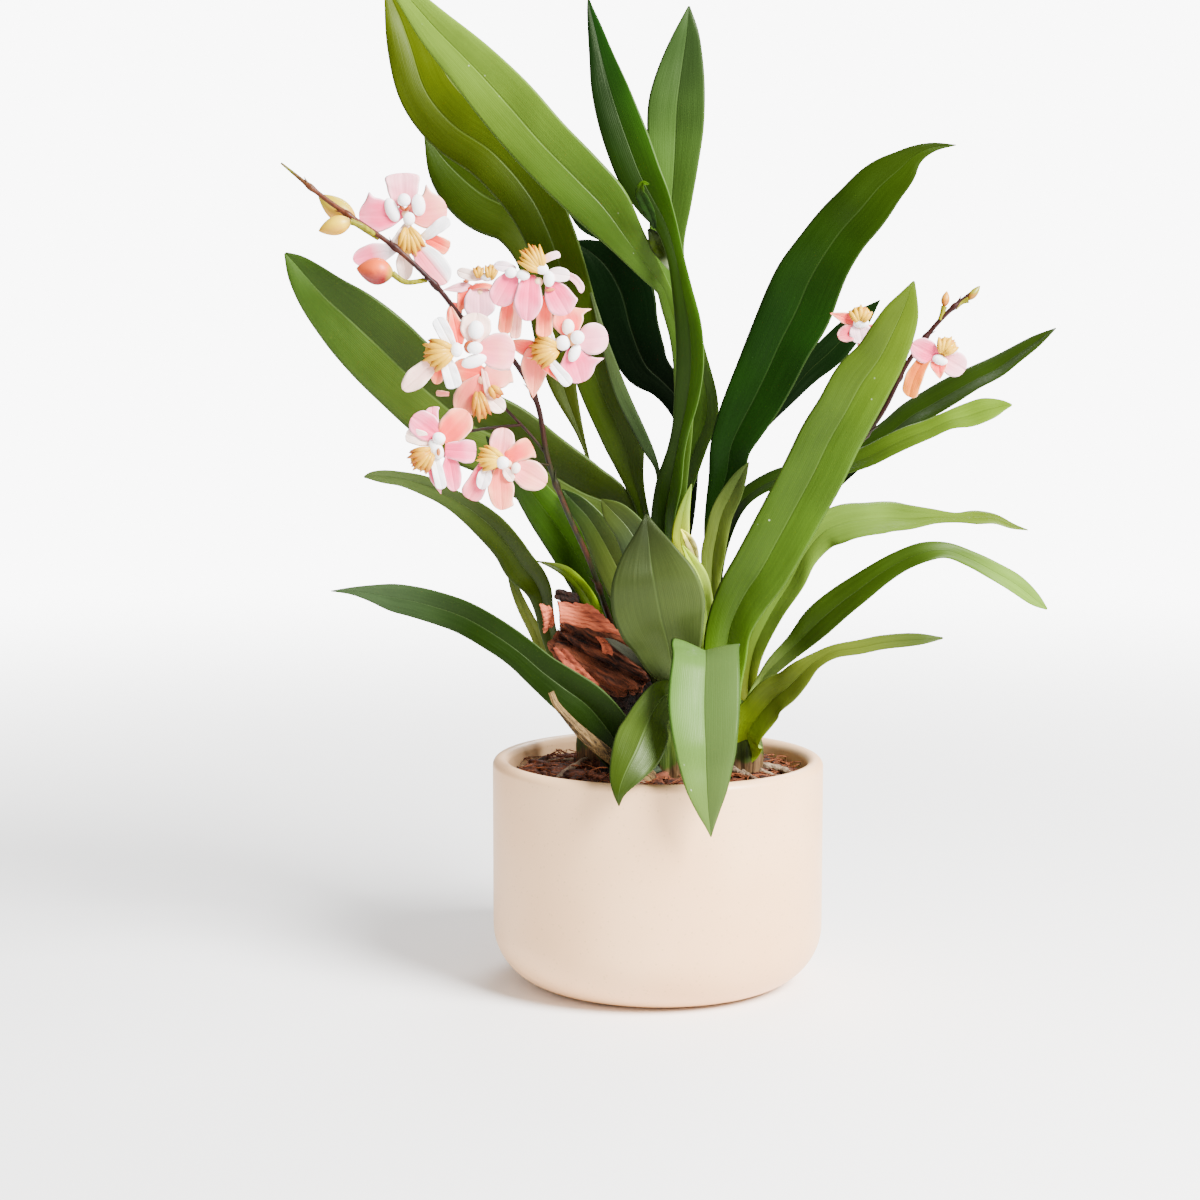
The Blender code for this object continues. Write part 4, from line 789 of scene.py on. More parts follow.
def potMesh():
    # the wall's outline from the inner floor over the lip to the foot, turned round the axis
    lip = potMake["wall"] / 2
    radius, height, foot = potMake["radius"], potMake["height"], potMake["foot"]
    inner, innerFoot = radius - potMake["wall"], foot - potMake["wall"]
    outline = np.concatenate([
        [(0.4, potMake["floor"])], [(20, potMake["floor"])],
        arc((inner - innerFoot, potMake["floor"] + innerFoot), innerFoot, -90, 0, 14),
        np.column_stack([np.full(10, inner), np.linspace(28, height - 8, 10)]),
        arc((radius - lip, height - lip), lip, 180, 0, 26),
        np.column_stack([np.full(14, radius), np.linspace(height - 8, foot + 2, 14)]),
        arc((radius - foot, foot), foot, 0, -90, 24),
        [(20, 0)], [(0.4, 0)]])
    return turnedMesh("pot", outline * mm, potMake["around"])


def potMaterial():
    material, tree, shader = newMaterial("potCeramic", Coat_Weight=0.12, Coat_Roughness=0.25, Specular_IOR_Level=0.4)
    place = addNode(tree, "TexCoord", out=3)
    broad = noise(tree, place, 14, 3)
    fine = noise(tree, place, 900, 2)
    rings = noise(tree, addNode(tree, "Mapping", {"Vector": place, "Scale": (6, 6, 420)}), 1, 2)
    paint = mixed(tree, between(tree, broad, 0.3, 0.75), colour(*potMake["clay"]), colour(*potMake["shade"]))
    dots = addNode(tree, "TexVoronoi", {"Vector": place, "Scale": 420.0})
    paint = mixed(tree, between(tree, dots, 0.10, 0.2, 0.2, 0.0), paint, colour(150, 106, 66))
    height = sums(tree, "MULTIPLY_ADD", rings, 0.5, sums(tree, "MULTIPLY", fine, 0.5))
    feed(tree, shader, paint, between(tree, broad, 0.2, 0.8, 0.36, 0.48), height, 0.00006, 0.5)
    return material


addPiece("pot_ceramic", potMesh(), potMaterial(), ["pot"])
print("pot ready")


# ---- bark mix

mixMake = {"radius": 53.9, "top": 74, "dome": 3.5, "floor": 8.3, "around": 150, "chips": 420, "fibres": 420}


def waves(points, length, count, seed):
    # an uneven value from -1 to 1: the mean of many sine waves of about this length in seeded directions
    draw = np.random.default_rng(seed)
    ways = unit(draw.normal(size=(count, 3))) * draw.uniform(0.6, 1.6, (count, 1)) * 2 * np.pi / length
    return np.sin(points @ ways.T + draw.uniform(0, 6.28, count)).sum(-1) / math.sqrt(count)


def mound(reach):
    # the height of the mix at this distance from the axis: top + dome * (1 - (reach / radius)^2)
    return mixMake["top"] + mixMake["dome"] * (1 - (reach / mixMake["radius"]) ** 2)


def bedMesh():
    # a turned disc of mix that fills the pot; its mound is raised and sunk by uneven waves of three lengths
    radius, top, floor, around = (mixMake[key] for key in ("radius", "top", "floor", "around"))
    side = np.array([(0.4, floor), (38, floor), (48, 12.5), (52.6, 19), (radius, 24), (radius, top - 4)])
    across = np.linspace(radius, 0.4, 60)
    outline = np.concatenate([side, np.column_stack([across, mound(across)])])
    angle = np.linspace(0, 2 * np.pi, around, endpoint=False)
    rings = np.stack([outline[:, :1] * np.cos(angle), outline[:, :1] * np.sin(angle),
                      np.repeat(outline[:, 1:2], around, axis=1)], axis=-1)
    upper = rings[len(side):]
    lift = 1.2 * waves(upper, 34, 9, 3) + 0.8 * waves(upper, 11, 12, 4) + 0.5 * waves(upper, 4, 16, 5)
    rings[len(side):, :, 2] += lift - 0.6
    return closedMesh("bed", rings * mm)


def lumpMesh(middle, half, turned, seed):
    # a broken lump: a ball of directions drawn out to a rounded box, roughened by waves and turned
    polar = np.linspace(0.12, np.pi - 0.12, 7)[:, None]
    angle = np.linspace(0, 2 * np.pi, 10, endpoint=False)[None, :]
    way = np.stack([np.sin(polar) * np.cos(angle), np.sin(polar) * np.sin(angle), np.cos(polar) + 0 * angle], axis=-1)
    boxy = (np.abs(way) ** 4).sum(-1, keepdims=True) ** -0.25
    shape = way * boxy * (1 + 0.16 * waves(way * 3, 2.4, 6, seed)[..., None]) * half
    return closedMesh("lump", (shape @ turned.T + middle) * mm)


def turning(draw, tumble=1.0):
    # a seeded turn about a random direction, flat-lying for a small tumble
    spin, lean, way = draw.uniform(0, 6.28), draw.normal() * tumble, draw.uniform(0, 6.28)
    axis = np.array([math.cos(way), math.sin(way), 0])
    cross = np.array([[0, -axis[2], axis[1]], [axis[2], 0, -axis[0]], [-axis[1], axis[0], 0]])
    tilt = np.eye(3) + math.sin(lean) * cross + (1 - math.cos(lean)) * cross @ cross
    flat = np.array([[math.cos(spin), -math.sin(spin), 0], [math.sin(spin), math.cos(spin), 0], [0, 0, 1]])
    return tilt @ flat


def chipsMesh():
    # flat-lying lumps strewn over the mound
    meshes = []
    for index in range(mixMake["chips"]):
        reach = (mixMake["radius"] - 5) * math.sqrt(chance.uniform())
        angle = chance.uniform(0, 6.28)
        half = np.array([chance.uniform(2, 5.5), chance.uniform(1.2, 3), chance.uniform(0.6, 1.6)])
        height = mound(reach) + chance.uniform(-1.2, 1.6)
        middle = np.array([reach * math.cos(angle), reach * math.sin(angle), height])
        meshes.append(lumpMesh(middle, half, turning(chance, 0.35), index))
    return joined("chips", meshes)


def fibresMesh():
    # thin wandering strands that lie in and over the mix
    meshes = []
    for index in range(mixMake["fibres"]):
        reach = (mixMake["radius"] - 3) * math.sqrt(chance.uniform(0.1, 1))
        angle = chance.uniform(0, 6.28)
        way = chance.uniform(0, 6.28)
        length = chance.uniform(8, 26)
        steps = np.linspace(-0.5, 0.5, 5)[:, None]
        points = (np.array([reach * math.cos(angle), reach * math.sin(angle), mound(reach) + chance.uniform(0, 2.6)])
                  + steps * length * np.array([math.cos(way), math.sin(way), 0])
                  + chance.normal(size=(5, 3)) * (2.2, 2.2, 1.1))
        far = np.linalg.norm(points[:, :2], axis=1, keepdims=True)
        points[:, :2] *= np.minimum(1, (mixMake["radius"] - 1) / far)
        size = chance.uniform(0.12, 0.34)
        meshes.append(tubeMesh("fibre", points * mm, lambda s: size * mm * (1 - 0.6 * s), 12, 5, (0, 0, 1)))
    return joined("fibres", meshes)


def rootsMesh():
    # thick pale roots that run from the bulbs over the mix and down into it
    meshes = []
    routes = [[(26, -14, 80), (34, -22, 77), (41, -28, 76.5), (46, -29, 74), (49, -27, 68)],
              [(33, -8, 80), (41, -12, 77), (47, -16, 76), (50, -20, 70)],
              [(30, -16, 79), (36, -30, 77), (39, -36, 75), (42, -40, 69)],
              [(22, -20, 78), (24, -30, 77), (31, -38, 76), (37, -41, 70)],
              [(38, 2, 78), (46, -2, 77), (50, -8, 74), (51, -10, 68)],
              [(-26, 4, 80), (-33, -8, 78), (-36, -18, 77), (-39, -30, 74), (-40, -34, 68)],
              [(-30, 14, 78), (-40, 16, 77), (-46, 10, 75), (-48, 6, 69)],
              [(-14, 24, 79), (-22, 34, 77), (-30, 38, 76), (-38, 36, 70)],
              [(8, 34, 80), (10, 42, 77), (2, 47, 75), (-6, 49, 69)],
              [(30, 28, 80), (36, 36, 77), (30, 42, 76), (22, 46, 70)],
              [(-2, -26, 79), (-10, -34, 77), (-20, -38, 76), (-30, -39, 70)],
              [(14, -26, 78), (14, -38, 76.5), (6, -45, 74), (0, -48, 68)]]
    for index, route in enumerate(routes):
        size = 1.15 + 0.35 * math.sin(5.0 * index)
        meshes.append(tubeMesh(
            "root", np.array(route) * mm,
            lambda s: size * mm * (1 + 0.12 * np.sin(40 * s + index)) * (1 - 0.3 * s), 40, 10, (0, 0, 1)))
    return joined("roots", meshes)


def makeCrustGroup():
    # rough plant matter: two colours in uneven patches with dark pores, and a relief of three sizes
    tree, given, taken = newGroup("crust", {
        "Dark": (0.05, 0.02, 0.01, 1), "Light": (0.2, 0.1, 0.05, 1), "Size": 90.0, "Pores": 0.5, "Stretch": "vector",
        "Turn": "vector",
    }, {"Colour": tuple, "Height": float, "Roughness": float})
    tree.interface.items_tree["Stretch"].default_value = (1, 1, 1)
    place = addNode(tree, "Mapping", {"Vector": addNode(tree, "TexCoord", out=3), "Rotation": given["Turn"]})
    place = addNode(tree, "Mapping", {"Vector": place, "Scale": given["Stretch"]})
    broad = noise(tree, place, given["Size"], 4)
    fine = noise(tree, place, sums(tree, "MULTIPLY", given["Size"], 6.0), 5)
    cells = addNode(tree, "TexVoronoi", {"Vector": place, "Scale": sums(tree, "MULTIPLY", given["Size"], 3.0)})
    share = sums(tree, "MULTIPLY_ADD", fine, 0.5, sums(tree, "MULTIPLY", broad, 0.6))
    paint = mixed(tree, between(tree, share, 0.38, 0.72), given["Dark"], given["Light"])
    pore = sums(tree, "MULTIPLY", between(tree, cells, 0.05, 0.3, 1.0, 0.0), given["Pores"])
    paint = mixed(tree, pore, paint, (0.01, 0.005, 0.003, 1))
    tree.links.new(paint, taken["Colour"])
    tree.links.new(sums(tree, "SUBTRACT", sums(tree, "ADD", broad, fine), pore), taken["Height"])
    tree.links.new(between(tree, fine, 0.2, 0.8, 0.75, 0.98), taken["Roughness"])


makeCrustGroup()


def crustMaterial(name, dark, light, size, pores=0.5, stretch=(1, 1, 1), depth=0.0006, turn=0):
    # turn, in degrees, lays the stretched grain along a leaning piece
    material, tree, shader = newMaterial(name, Specular_IOR_Level=0.25)
    made = useGroup(tree, "crust", {"Dark": colour(*dark), "Light": colour(*light), "Size": size, "Pores": pores,
                                    "Stretch": stretch, "Turn": (0, math.radians(turn), 0)})
    feed(tree, shader, made["Colour"], made["Roughness"], made["Height"], depth)
    return material


mixSkins = {  # dark, light, size of the patches, depth of the pores
    "Bed": (bedMesh, (10, 5, 3), (56, 28, 15), 160.0, 0.7),
    "Chips": (chipsMesh, (28, 13, 8), (100, 52, 30), 120.0, 0.4),
    "Fibres": (fibresMesh, (62, 28, 14), (140, 76, 40), 300.0, 0.1),
    "Roots": (rootsMesh, (80, 60, 46), (150, 128, 102), 200.0, 0.15),
}
for key, (makeMesh, *skin) in mixSkins.items():
    addPiece("mix_" + key.lower(), makeMesh(), crustMaterial("mix" + key, *skin), ["mix"])
print("mix ready")


# ---- bark beside the plant

barkMake = {
    "chunk": {"at": (602.5, 656.5, -10), "half": (16.7, 7.3, 8.8), "turn": -32, "ridges": 9, "rough": 0.2},
    "base": {"at": (622, 738, -8), "half": (7.4, 8, 19.5), "turn": 0, "ridges": 7, "rough": 0.16},
    "crumb": {"at": (567, 597, -8), "half": (4.2, 2.6, 2.0), "turn": -20, "ridges": 4, "rough": 0.2},
    "lower": {"at": (640, 700, -6), "half": (6, 5, 7), "turn": 20, "ridges": 4, "rough": 0.12},
    "flakes": {
        "top": [(557, 602, -14), (588, 604, -12), (559, 622, -18), (623, 637, -15)],
        "side": [(539, 603, -14), (550, 606, -12), (543, 634, -13), (553, 626, -11)],
        "front": [(553, 648, -18), (566, 649, -19), (584, 688, -18), (600, 685, -18)],
        "chip": [(595, 636, -19), (603, 639, -18), (602, 653, -20), (612, 655, -18)],
    },
    "thickness": 1.2, "curl": 1.8,
}


def ridgedMesh(name, bark, seed):
    # a rounded box of directions whose surface carries long ridges, split plates and uneven waves
    polar = np.linspace(0.03, np.pi - 0.03, 110)[:, None]
    angle = np.linspace(0, 2 * np.pi, 160, endpoint=False)[None, :]
    way = np.stack([np.cos(polar) + 0 * angle, np.sin(polar) * np.cos(angle), np.sin(polar) * np.sin(angle)], axis=-1)
    boxy = (np.abs(way) ** 3.2).sum(-1, keepdims=True) ** (-1 / 3.2)
    x, turn = way[..., 0], np.arctan2(way[..., 2], way[..., 1])
    ridge = np.sin(bark["ridges"] * turn + 2.2 * x) + 0.5 * np.sin(7 * x + 3 * turn)
    plates = np.abs(waves(way * (1.2, 5, 5), 1.7, 10, seed)) - 0.5
    size = 1 + (bark["rough"] * ridge + 0.07 * plates + 0.03 * waves(way * 4, 1.2, 14, seed + 1)) * (1 - 0.6 * x * x)
    shape = way * boxy * size[..., None] * bark["half"]
    lean = math.radians(-bark["turn"])
    turned = np.array([[math.cos(lean), 0, math.sin(lean)], [0, 1, 0], [-math.sin(lean), 0, math.cos(lean)]])
    return closedMesh(name, shape @ turned.T * mm + seenPoints([bark["at"]])[0])


def flakeMesh(name, corners, seed):
    # a curled flake between four corners: half width * (1 + 0.07 uneven waves) along the line between its
    # ends, raised by curl * (1 - across^2) and two small ripples
    first, second, third, fourth = seenPoints(corners)
    columns, rows = 31, 40
    u = np.linspace(0, 1, rows)
    torn = waves(np.column_stack([u * 9, u * 0, u * 0]), 2.5, 8, seed)
    start, end = first + (second - first) * u[:, None], third + (fourth - third) * u[:, None]
    spine = (start + end) / 2
    side = unit(end - start)
    half = np.linalg.norm(end - start, axis=1) / 2 * (1 + 0.07 * torn)
    face = unit(np.cross(np.gradient(spine, axis=0), side))
    face *= np.sign(face @ -forward)[:, None]
    curl = barkMake["curl"] * mm

    def lift(s, w):
        return w, curl * (1 - w * w) * (1 - 0.4 * s) + 0.25 * mm * np.sin(22 * w + 5 * s) + 0.2 * mm * np.sin(9 * s)

    return bladeMesh(name, spine, u, side, face, half, lift, barkMake["thickness"] * mm, columns)


# the chunk's near-black patches are partly its own dark bark and partly painted shade of the black gaps between its
# ridges
addPiece("bark_chunk_body", ridgedMesh("chunk", barkMake["chunk"], 21),
         crustMaterial("barkChunk", (6, 3, 2), (126, 66, 40), 150.0, 0.3, (0.16, 1, 1), 0.002, -32),
         ["bark_chunk"])
addPiece("bark_chunk_flakes",
         joined("flakes", [flakeMesh(key, corners, 30 + index)
                           for index, (key, corners) in enumerate(barkMake["flakes"].items())]),
         crustMaterial("barkFlakes", (112, 46, 28), (204, 104, 70), 130.0, 0.1, (0.25, 1, 1), 0.0006, -28),
         ["bark_chunk"])
# the near-black brown of the base and the lower piece is painted shade of the dark hollow under the leaves; the crumb
# shares this paint
addPiece("bark_base_body",
         joined("base", [ridgedMesh(key, barkMake[key], 23 + index)
                         for index, key in enumerate(("base", "lower", "crumb"))]),
         crustMaterial("barkBase", (5, 3, 2), (44, 22, 12), 120.0, 0.5, (1, 1, 1), 0.0012),
         ["bark_base"])

stubMake = {"route": [(650, 780, -26), (618, 762, -32), (597, 746, -36), (580, 731, -38), (566, 716, -40),
                      (556, 704, -41), (551, 692, -41)],
            "radius": 3.4, "top": 0.9, "pleats": 9}


def stubMesh():
    # a dried sheath: a round stem with lengthwise pleats that deepen towards the torn top
    spine, share = smoothRoute(seenPoints(stubMake["route"]), 70)
    along = unit(np.gradient(spine, axis=0))
    side = unit(np.cross(along, (0, 1, 0)))
    other = np.cross(along, side)
    angle = np.linspace(0, 2 * np.pi, 54, endpoint=False)[None, :]
    size = stubMake["radius"] + (stubMake["top"] - stubMake["radius"]) * share[:, None]
    size = size * (1 + 0.13 * np.sin(stubMake["pleats"] * angle + 2 * share[:, None]) * (0.5 + 0.5 * share[:, None]))
    size = size * (1 + 0.07 * np.sin(13 * share[:, None] + 2 * angle)) * mm
    rings = (spine[:, None] + (size * np.cos(angle))[..., None] * side[:, None]
             + (size * np.sin(angle))[..., None] * other[:, None])
    return closedMesh("stub", rings)


addPiece("dry_sheath", stubMesh(),
         crustMaterial("drySheath", (30, 20, 9), (132, 104, 62), 420.0, 0.1, (0.08, 1, 1), 0.001, -48),
         ["dry_stub"])
print("bark ready")


# ---- flower stems and buds

sprays = {
    "left": {
        "node": "spray_left", "foot": (-6, 2),
        "stem": [(638, 740, 3), (631, 690, 3), (619, 645, 2), (606, 609, -4), (590, 562, -14), (566, 509, -20),
                 (548, 460, -24), (536, 400, -28), (505, 350, -33), (466, 322, -38), (438, 288, -42),
                 (397, 249, -45), (327, 200, -47), (281, 163, -48)],
        "knuckles": [0.16, 0.30, 0.455, 0.575, 0.69, 0.765, 0.83, 0.90, 0.955],
    },
    "right": {
        "node": "spray_right", "foot": (22, 7),
        "stem": [(721, 700, 6), (735, 640, 5), (764, 577, 5), (805, 515, 5), (848, 458, 5), (882, 413, 4),
                 (908, 362, 2), (942, 318, 0), (978, 287, 0)],
        "knuckles": [0.25, 0.5, 0.69, 0.80, 0.88, 0.95],
    },
}
stemMake = {"foot": 66, "radius": 1.05, "tip": 0.82, "stalk": 0.5, "fresh": 0.85, "knuckle": 0.45, "bract": 7.0,
            "rows": 320}

buds = {
    "red": {"node": "bud_red", "at": (375, 271, -43), "half": (6.4, 4.6), "lean": 172, "spray": "left",
            "upper": (214, 84, 26), "lower": (124, 14, 14), "foot": (150, 146, 24),
            "stalk": [(427, 280, -42), (405, 282, -43)]},
    "upper": {"node": "bud_upper", "at": (337, 209, -41), "half": (8.0, 3.9), "lean": 143, "spray": "left",
              "upper": (180, 156, 0), "lower": (206, 144, 0), "foot": (92, 104, 6),
              "stalk": [(378, 238, -45), (367, 231, -42)]},
    "lower": {"node": "bud_lower", "at": (335, 226, -51), "half": (5.8, 3.2), "lean": 197, "spray": "left",
              "upper": (214, 176, 0), "lower": (192, 140, 0), "foot": (120, 90, 44),
              "stalk": [(374, 234, -46), (362, 226, -50)]},
    "upright": {"node": "spray_right", "at": (945.5, 299, 0), "half": (2.9, 1.5), "lean": 80, "spray": "right",
                "upper": (190, 126, 0), "lower": (170, 96, 0), "foot": (110, 44, 12),
                "stalk": [(940, 320, 0), (942, 314, 0)]},
    "end": {"node": "spray_right", "at": (974, 293, 0), "half": (3.4, 1.4), "lean": 50, "spray": "right",
            "upper": (120, 116, 4), "lower": (140, 90, 0), "foot": (70, 64, 6),
            "stalk": [(955, 308, 0), (962, 302, 0)]},
}


def pixelSize(reading):
    # metres across one picture step at a reading
    return np.linalg.norm(np.diff(seenPoints([reading, np.add(reading, (1, 0, 0))]), axis=0))


def eggMesh(name, middle, half, axes, marks, rows=18, columns=26):
    # an egg: half * (cos a, sin a cos b, sin a sin b) in its own axes, turned and moved
    polar = np.linspace(np.pi - 0.05, 0.05, rows)[:, None]
    angle = np.linspace(0, 2 * np.pi, columns, endpoint=False)[None, :]
    shape = np.stack([np.cos(polar) + 0 * angle, np.sin(polar) * np.cos(angle), np.sin(polar) * np.sin(angle)],
                     axis=-1)
    points = (shape * half) @ np.asarray(axes).T + middle
    return closedMesh(name, points, {key: np.full((rows, columns), value) for key, value in marks.items()})


def budAxes(bud):
    middle = seenPoints([bud["at"]])[0]
    angle = math.radians(bud["lean"])
    along = unit(upward * math.sin(angle) + rightward * math.cos(angle))
    across = unit(np.cross(along, forward))
    return middle, np.column_stack([along, across, np.cross(along, across)])


def budMesh(name, bud):
    # an egg drawn to a blunt point, with three shallow seams where its sepals meet: its radius is
    # width * sin(pi * share^0.85)^0.8 from the stalk to the point
    middle, axes = budAxes(bud)
    share = np.linspace(0.012, 0.988, 46)[:, None]
    angle = np.linspace(0, 2 * np.pi, 60, endpoint=False)[None, :]
    seam = 1 - 0.06 * np.exp(-((np.mod(angle + 0.5, 2 * np.pi / 3) - np.pi / 3) / 0.13) ** 2) * np.sin(np.pi * share)
    radius = bud["half"][1] * np.sin(np.pi * share ** 0.85) ** 0.8 * seam
    points = np.stack([(2 * share - 1) * bud["half"][0] + 0 * angle, radius * np.cos(angle), radius * np.sin(angle)],
                      axis=-1) * mm @ axes.T
    rise = points[..., 2] / (bud["half"][1] * mm)
    foot = np.clip(1 - share * 5, 0, 1) + 0 * angle
    return closedMesh(name, points + middle, {"upper": 0.5 + 0.5 * rise, "foot": foot})


def budMaterial(name, bud):
    material, tree, shader = newMaterial(name, Coat_Weight=0.15, Coat_Roughness=0.3, Specular_IOR_Level=0.3)
    upper = addNode(tree, "Attribute", out=2, attribute_name="upper")
    foot = addNode(tree, "Attribute", out=2, attribute_name="foot")
    spots = noise(tree, addNode(tree, "TexCoord", out=3), 400, 3)
    share = sums(tree, "ADD", upper, sums(tree, "MULTIPLY_ADD", spots, 0.5, -0.25))
    paint = mixed(tree, between(tree, share, 0.15, 0.7), colour(*bud["lower"]), colour(*bud["upper"]))
    paint = mixed(tree, foot, paint, colour(*bud["foot"]))
    feed(tree, shader, paint, between(tree, spots, 0.2, 0.8, 0.35, 0.55), spots, 0.0001)
    return material


def bractMesh(point, along, out, size):
    # a small pointed sheath at a knuckle: a narrow blade that hugs the stem and then stands off it
    steps = np.linspace(0, 1, 14)
    spine = point + (along * steps[:, None] + out * (0.12 + 0.25 * steps[:, None] ** 2)) * size
    side = np.tile(unit(np.cross(along, out)), (len(steps), 1))
    half = size * 0.2 * np.sin(np.pi * np.clip(0.35 + 0.65 * steps, 0, 1)) ** 0.8

    def lift(s, v):
        return v, -half[:, None] * 0.5 * v * v

    return bladeMesh("bract", spine, steps, side, np.tile(out, (len(steps), 1)), half, lift, 0.3 * mm, 9)


def sprayMesh(name, spray):
    # the stem with a swelling at each knuckle, its bracts and the stalks of its blooms and buds
    foot = np.array([*spray["foot"], stemMake["foot"]]) * mm
    route = np.concatenate([[foot], seenPoints(spray["stem"])])
    knuckles = np.array(spray["knuckles"])

    def radius(share):
        swelling = np.exp(-((share[:, None] - knuckles) / 0.006) ** 2).sum(1)
        thick = stemMake["radius"] + (stemMake["tip"] - stemMake["radius"]) * share + stemMake["knuckle"] * swelling
        return thick * (1 - 0.6 * np.clip((share - 0.93) / 0.07, 0, 1) ** 2) * mm

    meshes = [tubeMesh("stem", route, radius, stemMake["rows"], 14)]
    spine = smoothRoute(route, stemMake["rows"])[0]
    along = unit(np.gradient(spine, axis=0))
    for index, knuckle in enumerate(knuckles):
        at = int(knuckle * (stemMake["rows"] - 1))
        out = unit(np.cross(along[at], (0, 1, 0))) * (1 if index % 2 else -1) - 0.3 * forward
        meshes.append(bractMesh(spine[at], along[at], unit(out), stemMake["bract"] * (1 - 0.4 * knuckle) * mm))
    for group in (blooms, buds):
        for item in group.values():
            if item["spray"] != name:
                continue
            if group is buds:
                middle, axes = budAxes(item)
                end = [middle - axes[:, 0] * item["half"][0] * 0.92 * mm]
            else:
                middle = seenPoints([item["at"]])[0]
                end = [middle - unit(eye - middle) * 6 * mm, middle - unit(eye - middle) * 0.5 * mm]
            points = np.concatenate([seenPoints(item["stalk"]), end])
            thin = stemMake["fresh" if group is buds else "stalk"]
            stalk = tubeMesh("stalk", points, lambda s: (thin + 0.3 * s**3) * mm, 40, 10)
            fresh = np.full(len(stalk.vertices), float(group is buds))
            stalk.attributes.new("fresh", "FLOAT", "POINT").data.foreach_set("value", fresh)
            meshes.append(stalk)
    return joined(name, meshes)


def stemMaterial():
    # mottled olive below, maroon brown in the middle, beige and then yellow-green towards the tip
    material, tree, shader = newMaterial("flowerStem", Coat_Weight=0.03, Specular_IOR_Level=0.15)
    place = addNode(tree, "TexCoord", out=3)
    split = tree.nodes.new("ShaderNodeSeparateXYZ")
    tree.links.new(place, split.inputs[0])
    grain = noise(tree, addNode(tree, "Mapping", {"Vector": place, "Scale": (1, 1, 0.15)}), 900, 3)
    cloud = noise(tree, place, 160, 2)
    high = sums(tree, "MULTIPLY_ADD", cloud, 0.03, split.outputs[2])
    low = mixed(tree, between(tree, cloud, 0.4, 0.65), colour(20, 26, 2), colour(44, 20, 6))
    paint = mixed(tree, between(tree, high, 0.19, 0.23), low, colour(38, 11, 7))
    paint = mixed(tree, between(tree, high, 0.272, 0.29), paint, colour(78, 38, 20))
    paint = mixed(tree, between(tree, high, 0.296, 0.312), paint, colour(84, 86, 6))
    paint = mixed(tree, addNode(tree, "Attribute", out=2, attribute_name="fresh"), paint, colour(116, 112, 8))
    tone = addNode(tree, "CombineColor", {key: between(tree, grain, 0.3, 0.7, 0.7, 1.3) for key in range(3)})
    paint = mixed(tree, 1.0, paint, tone, "MULTIPLY")
    feed(tree, shader, paint, between(tree, grain, 0.2, 0.8, 0.4, 0.6), grain, 0.0001)
    return material


# ---- flowers

# petal outlines: where it is widest, share of the width at its foot, power of the swell, power of the
# fall, and 0.5 for a round end or 1 for a pointed one
petalShapes = {
    "hood": (0.76, 0.62, 1.2, 4.5, 0.5),
    "round": (0.56, 0.24, 1.0, 2.3, 0.5),
    "oval": (0.52, 0.36, 0.8, 2.1, 0.5),
    "bar": (0.7, 0.66, 1.0, 5, 0.5),
    "point": (0.36, 0.5, 0.8, 1.4, 1.0),
}


def petal(shape, foot, tip, wide, rise=(1.0, 0.2), bow=0, warm=0.3, white=0.0, pale=0.0, side=0.0,
          corner=0, place=0.6):
    # foot, tip, width, sideways bow and corner are picture steps; rise is millimetres forward at the
    # middle and the tip; pale is whiteness at the foot, side whiteness towards one side, and a corner
    # above 0 stands on the side clockwise from the tip, at place along the petal
    return {"shape": petalShapes[shape], "foot": foot, "tip": tip, "wide": wide, "rise": rise, "bow": bow,
            "warm": warm, "white": white, "pale": pale, "side": side, "corner": corner, "place": place}


